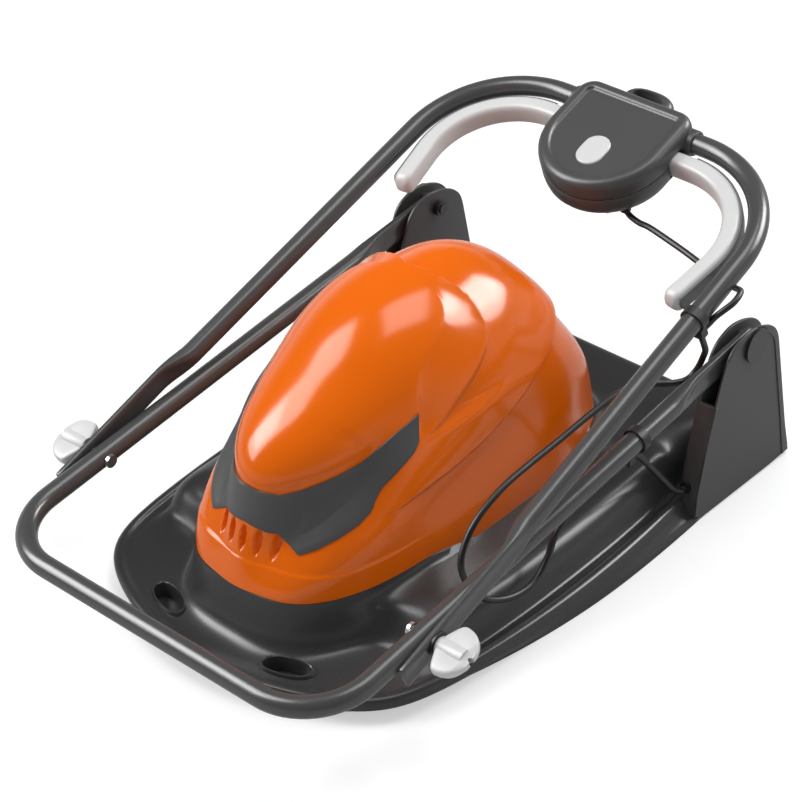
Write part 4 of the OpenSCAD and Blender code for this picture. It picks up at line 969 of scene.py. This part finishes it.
def d_outline(inset, per=14):
    """The D outline of the box, drawn in by an inset."""
    half, back = BOX_HALF - inset, BOX_BACK - inset
    corner = max(4.0, 20 - inset)
    line = [(half * math.cos(a), BOX_U + half * math.sin(a)) for a in np.linspace(-math.pi, 0, 4 * per)]
    line += [(half, u) for u in np.linspace(BOX_U, back - corner, per)[1:-1]]
    line += [(half - corner + corner * math.cos(a), back - corner + corner * math.sin(a))
             for a in np.linspace(0, math.pi / 2, per)]
    line += [(corner - half - corner * math.sin(a), back - corner + corner * math.cos(a))
             for a in np.linspace(0, math.pi / 2, per)]
    line += [(-half, u) for u in np.linspace(back - corner, BOX_U, per)[1:-1]]
    return line


def clam_half(name, rows):
    """One half of the box from rows of inset and height."""
    return skinned(name, upper_at([[(x, u, n) for x, u in d_outline(inset)] for inset, n in rows]))


def tilted_cutter(name, rings):
    return skinned(name, upper_at(rings))


def round_bar(x0, x1, u, n, radius, sides=48):
    """Two rings of a bar across the handle."""
    turn = np.linspace(0, 2 * math.pi, sides, endpoint=False)
    ring = lambda x: [(x, u + radius * math.cos(a), n + radius * math.sin(a)) for a in turn]
    return [ring(x0), ring(x1)]


def stadium(radius, long, u0, n, sides=40):
    """An oval with straight sides, drawn about u0 at the height n."""
    ring = []
    for a in np.linspace(0, 2 * math.pi, sides, endpoint=False):
        shift = (long / 2 - radius) * np.sign(round(math.sin(a), 6))
        ring.append((radius * math.cos(a), u0 + radius * math.sin(a) + shift, n))
    return ring


lid = clam_half("switch_box_lid", [(3.2, 0.0), (0.9, 0.0), (0.2, 0.8), (0, 3), (0, 13), (0.8, 17.5),
                                   (2.6, 20.6), (5.4, 22.5), (8, 23), (11, 23), (12.4, 22.5), (13.4, 21.2),
                                   (14.4, 20.2), (16, 20), (20, 20)])
tray = clam_half("switch_box_tray", [(20, -27), (14, -27), (9, -26), (4.6, -23.4), (1.8, -19), (0.5, -13),
                                     (0, -6), (0, -1.2), (0.3, -0.5), (1.1, -0.3), (3.2, -0.3)])
for shell in (lid, tray):
    cut(shell, tilted_cutter("tube_way", round_bar(-110, 110, GRIP_U, 0, TUBE_R + 0.2)))
    for mirror in (1, -1):
        cut(shell, tilted_cutter("lever_way", [[(mirror * x, 600 + 13.5 * y, -8 + 14.5 * n)
                                                for y, n in superellipse(1, 1, 5, 32)] for x in (30, 90)]))
cut(lid, tilted_cutter("button_way", [stadium(15.9, 42.8, BUTTON_U, n) for n in (10, 30)]))
settle(lid, "upper_handle", BOX, ["switch_box_top"], smooth=40)
settle(tray, "upper_handle", BOX, ["switch_box_base"], smooth=40)

button_rows = [(14.4, 39.8, 8), (15.4, 41.8, 8.6), (15.4, 41.8, 19.6), (15.2, 41.4, 20.6), (14.7, 40.4, 21.3),
               (13.8, 38.6, 21.8), (12, 35, 22)]
button = skinned("lock_off_key", upper_at([stadium(r, l, BUTTON_U, n) for r, l, n in button_rows]))
settle(button, "lock_off_button", PALE, ["lock_off_button"], smooth=40)
print("box faces", len(lid.data.polygons), len(tray.data.polygons))

# %% [markdown]
# ## Collars and cable hook
# Small mouldings finish the grip: a collar where the tube leaves the box, and a humped hook
# for the mains cable with an oval hole. The clips that hold the lead to the tubes are carried over as they
# stand.

# %% Collars and hook


def turned(name, profile, place, sides=56):
    """Turns a (distance along, radius) profile about an axis; place puts a ring in the machine."""
    turn = np.linspace(0, 2 * math.pi, sides, endpoint=False)
    rings = [[(along, r * math.cos(a), r * math.sin(a)) for a in turn] for along, r in profile]
    return skinned(name, place(np.array(rings)), ends=False, loop=True)


COLLAR = [(66, 11.1), (66, 13.8), (77, 13.8), (78.4, 13.4), (79, 12.6), (79, 11.1)]
collars = []
for mirror in (1, -1):
    put = lambda p: upper_at(p * (mirror, 1, 1) + (0, GRIP_U, 0))
    collars.append(turned("grip_collar", COLLAR, put))
collar = joined("grip_collars", collars)
settle(collar, "upper_handle", BOX, smooth=35)


def hook_outline(grow):
    """The hump of the hook, seen from above, made larger or smaller."""
    line = [(31 + grow, 645.2)]
    for a in np.linspace(0, math.pi, 40):
        c, s = math.cos(a), math.sin(a)
        line.append(((31 + grow) * np.sign(c) * abs(c) ** 0.8, 647 + (20.6 + grow) * s ** 0.8))
    line.append((-31 - grow, 645.2))
    return line


hook_rows = ((-4, -10), (-1.2, -9.4), (0, -7), (0, 3), (-1, 6.4), (-3, 8.8), (-5.4, 10))
hook_rings = [[(x, u, n) for x, u in hook_outline(grow)] for grow, n in hook_rows]
hook = skinned("cable_hook_hump", upper_at(hook_rings))
slot = [[(20 * c, 654.4 + 6.8 * s, n) for c, s in superellipse(1, 1, 2.2, 40)] for n in (-20, 20)]
cut(hook, tilted_cutter("hook_slot", slot))
settle(hook, "upper_handle", BOX, ["cable_hook"], smooth=35)
print("hook faces", len(hook.data.polygons))

# %% [markdown]
# ## Levers and wing nuts
# The two pale levers follow the inside of the grip bend, just below the tube, so that the
# fingers can squeeze them from anywhere on the grip. A rounded bar is carried along that
# bend and closed with a rounded end. A darker liner faces the tube.

# %% Levers


LEVER_RUN = 92
LEVER_TURN = math.radians(-8.2)
LEVER_Z = -8


def lever_line(offset, first, last):
    """Stations along the lever, offset towards the tube: across, along and the way it runs."""
    run = LEVER_RUN + offset
    line = [((x, BEND_U + run), (1, 0)) for x in np.linspace(first, BEND_X, 5)[:-1]]
    for a in np.linspace(math.pi / 2, LEVER_TURN, 34):
        line.append(((BEND_X + run * math.cos(a), BEND_U + run * math.sin(a)), (math.sin(a), -math.cos(a))))
    start = np.array(line[-1][0])
    way = np.array((math.sin(LEVER_TURN), -math.cos(LEVER_TURN)))
    for d in np.linspace(0, last, 12)[1:]:
        line.append((tuple(start + way * d), tuple(way)))
    return line


def lever_rings(line, half, high, power, close):
    """A rounded section along the line, closing over the last stretch."""
    spots = np.array([p for p, _ in line])
    along = np.concatenate([[0], np.cumsum(np.linalg.norm(np.diff(spots, axis=0), axis=1))])
    total = along[-1]
    tip = total - close + close * np.sin(np.linspace(0, math.pi / 2, 9))
    stops = np.concatenate([along[along < total - close], tip])
    ways = np.array([w for _, w in line])
    rings = []
    for d in stops:
        p = [np.interp(d, along, spots[:, i]) for i in (0, 1)]
        w = np.array([np.interp(d, along, ways[:, i]) for i in (0, 1)])
        w /= np.linalg.norm(w)
        out = max(0.0, (d - (total - close)) / close)
        size = max(0.08, math.sqrt(max(0.0, 1 - out * out)))
        outline = superellipse(half * (0.35 + 0.65 * size), high * size, power, 36)
        rings.append([(p[0] - w[1] * o, p[1] + w[0] * o, LEVER_Z + n) for o, n in outline])
    return rings


right_grip = skinned("right_lever_bar", upper_at(lever_rings(lever_line(0, 60, 57), 10, 13, 3.4, 11)))
left_grip = mirrored(right_grip, "left_lever_bar")
right_lining = skinned("right_lever_lining", upper_at(lever_rings(lever_line(10.1, 92, 51), 2, 9, 4, 5)))
left_lining = mirrored(right_lining, "left_lever_lining")
for grip, lining, side in ((right_grip, right_lining, "right"), (left_grip, left_lining, "left")):
    settle(grip, side + "_lever", PALE, [side + "_lever"], smooth=50)
    settle(lining, side + "_lever", LINER, [side + "_lever_liner"], smooth=50)
print("lever faces", len(right_grip.data.polygons))

# %% [markdown]
# A wing nut is a hub with one broad paddle that the fingers turn. The paddle is skinned from
# sections along the bolt, and its bore is cut afterwards.

# %% Wing nuts
NUT_BASE = 231.8
NUT_BORE = 4.05


def paddle_half(x):
    """Half length of the wing nut's paddle at a distance from the washer."""
    swept_in = 4 + x * 2.38
    round_out = math.sqrt(max(0.0, 30 ** 2 - (x - 9) ** 2))
    return (swept_in ** -9 + round_out ** -9 + 29.0 ** -9) ** (-1 / 9) if round_out > 0.5 else 0.5


def wing_nut():
    """The right wing nut: a hub with a bore, and the paddle around it."""
    place = lambda p: p + (0, *FOLD)
    profile = [(NUT_BASE + x, r) for x, r in ((0, NUT_BORE), (0, 8.4), (0.8, 9), (30, 9), (30, NUT_BORE))]
    hub = turned("nut_hub", profile, place)
    rings = []
    tip = 38 - 4 * np.cos(np.linspace(0.25, 1.5, 7))
    for x in np.concatenate([[1.2, 1.6], np.linspace(2.4, 34, 26), tip]):
        half = paddle_half(x)
        thick = 6.5 * (1 - 0.42 * smoothstep(30, 38.2, x)) * (0.8 + 0.2 * smoothstep(1, 3, x))
        outline = superellipse(half, thick, 4.5, 56)
        scoop = 1 - 0.16 * np.exp(-(outline[:, 0] / 15) ** 2) * smoothstep(8, 20, x)
        rings.append([(NUT_BASE + x, s, t * k) for (s, t), k in zip(outline, scoop)])
    wings = skinned("nut_paddle", upper_at(rings))
    cut(wings, rod("nut_bore", NUT_BASE - 5, NUT_BASE + 50, *FOLD, NUT_BORE, 40))
    return joined("right_nut_paddle", [wings, hub])


right_nut = wing_nut()
left_nut = mirrored(right_nut, "left_nut_paddle")
settle(right_nut, "right_wing_nut", PALE, ["right_wing_nut"], smooth=45)
settle(left_nut, "left_wing_nut", PALE, ["left_wing_nut"], smooth=45)
print("nut faces", len(right_nut.data.polygons))

# %% [markdown]
# ## Carried-over solids
# The bolts, washers, bearings, motor and rotor are right as they stand. They keep their own
# meshes and get the finishes named above through their material slots.

# %% Carried-over solids
KEPT = {
    ZINC: ("hood_screws motor_mount_plate plate_screws motor_can upper_end_plate upper_bearing lower_bearing "
           "fold_bolts switch_box_screws lever_pins motor_shaft blade_bolt"),
    DARK_STEEL: "pivot_bolts pivot_nuts",
    IRON: "stator_core rotor_core",
    COPPER: "commutator",
    CARBON: "carbon_brushes",
    FAN: "impeller blade_spacer",
    BLADE: "cutting_blade",
    PALE: "terminal_block",
    BLACK: "lower_cable_clip upper_cable_clip box_gland deck_gland pivot_bushes switch_block fold_washers"}
for finish, names in KEPT.items():
    for name in names.split():
        solid = NODES[name]
        solid.data.materials.clear()
        solid.data.materials.append(finish)
print("kept", sum(len(n.split()) for n in KEPT.values()))
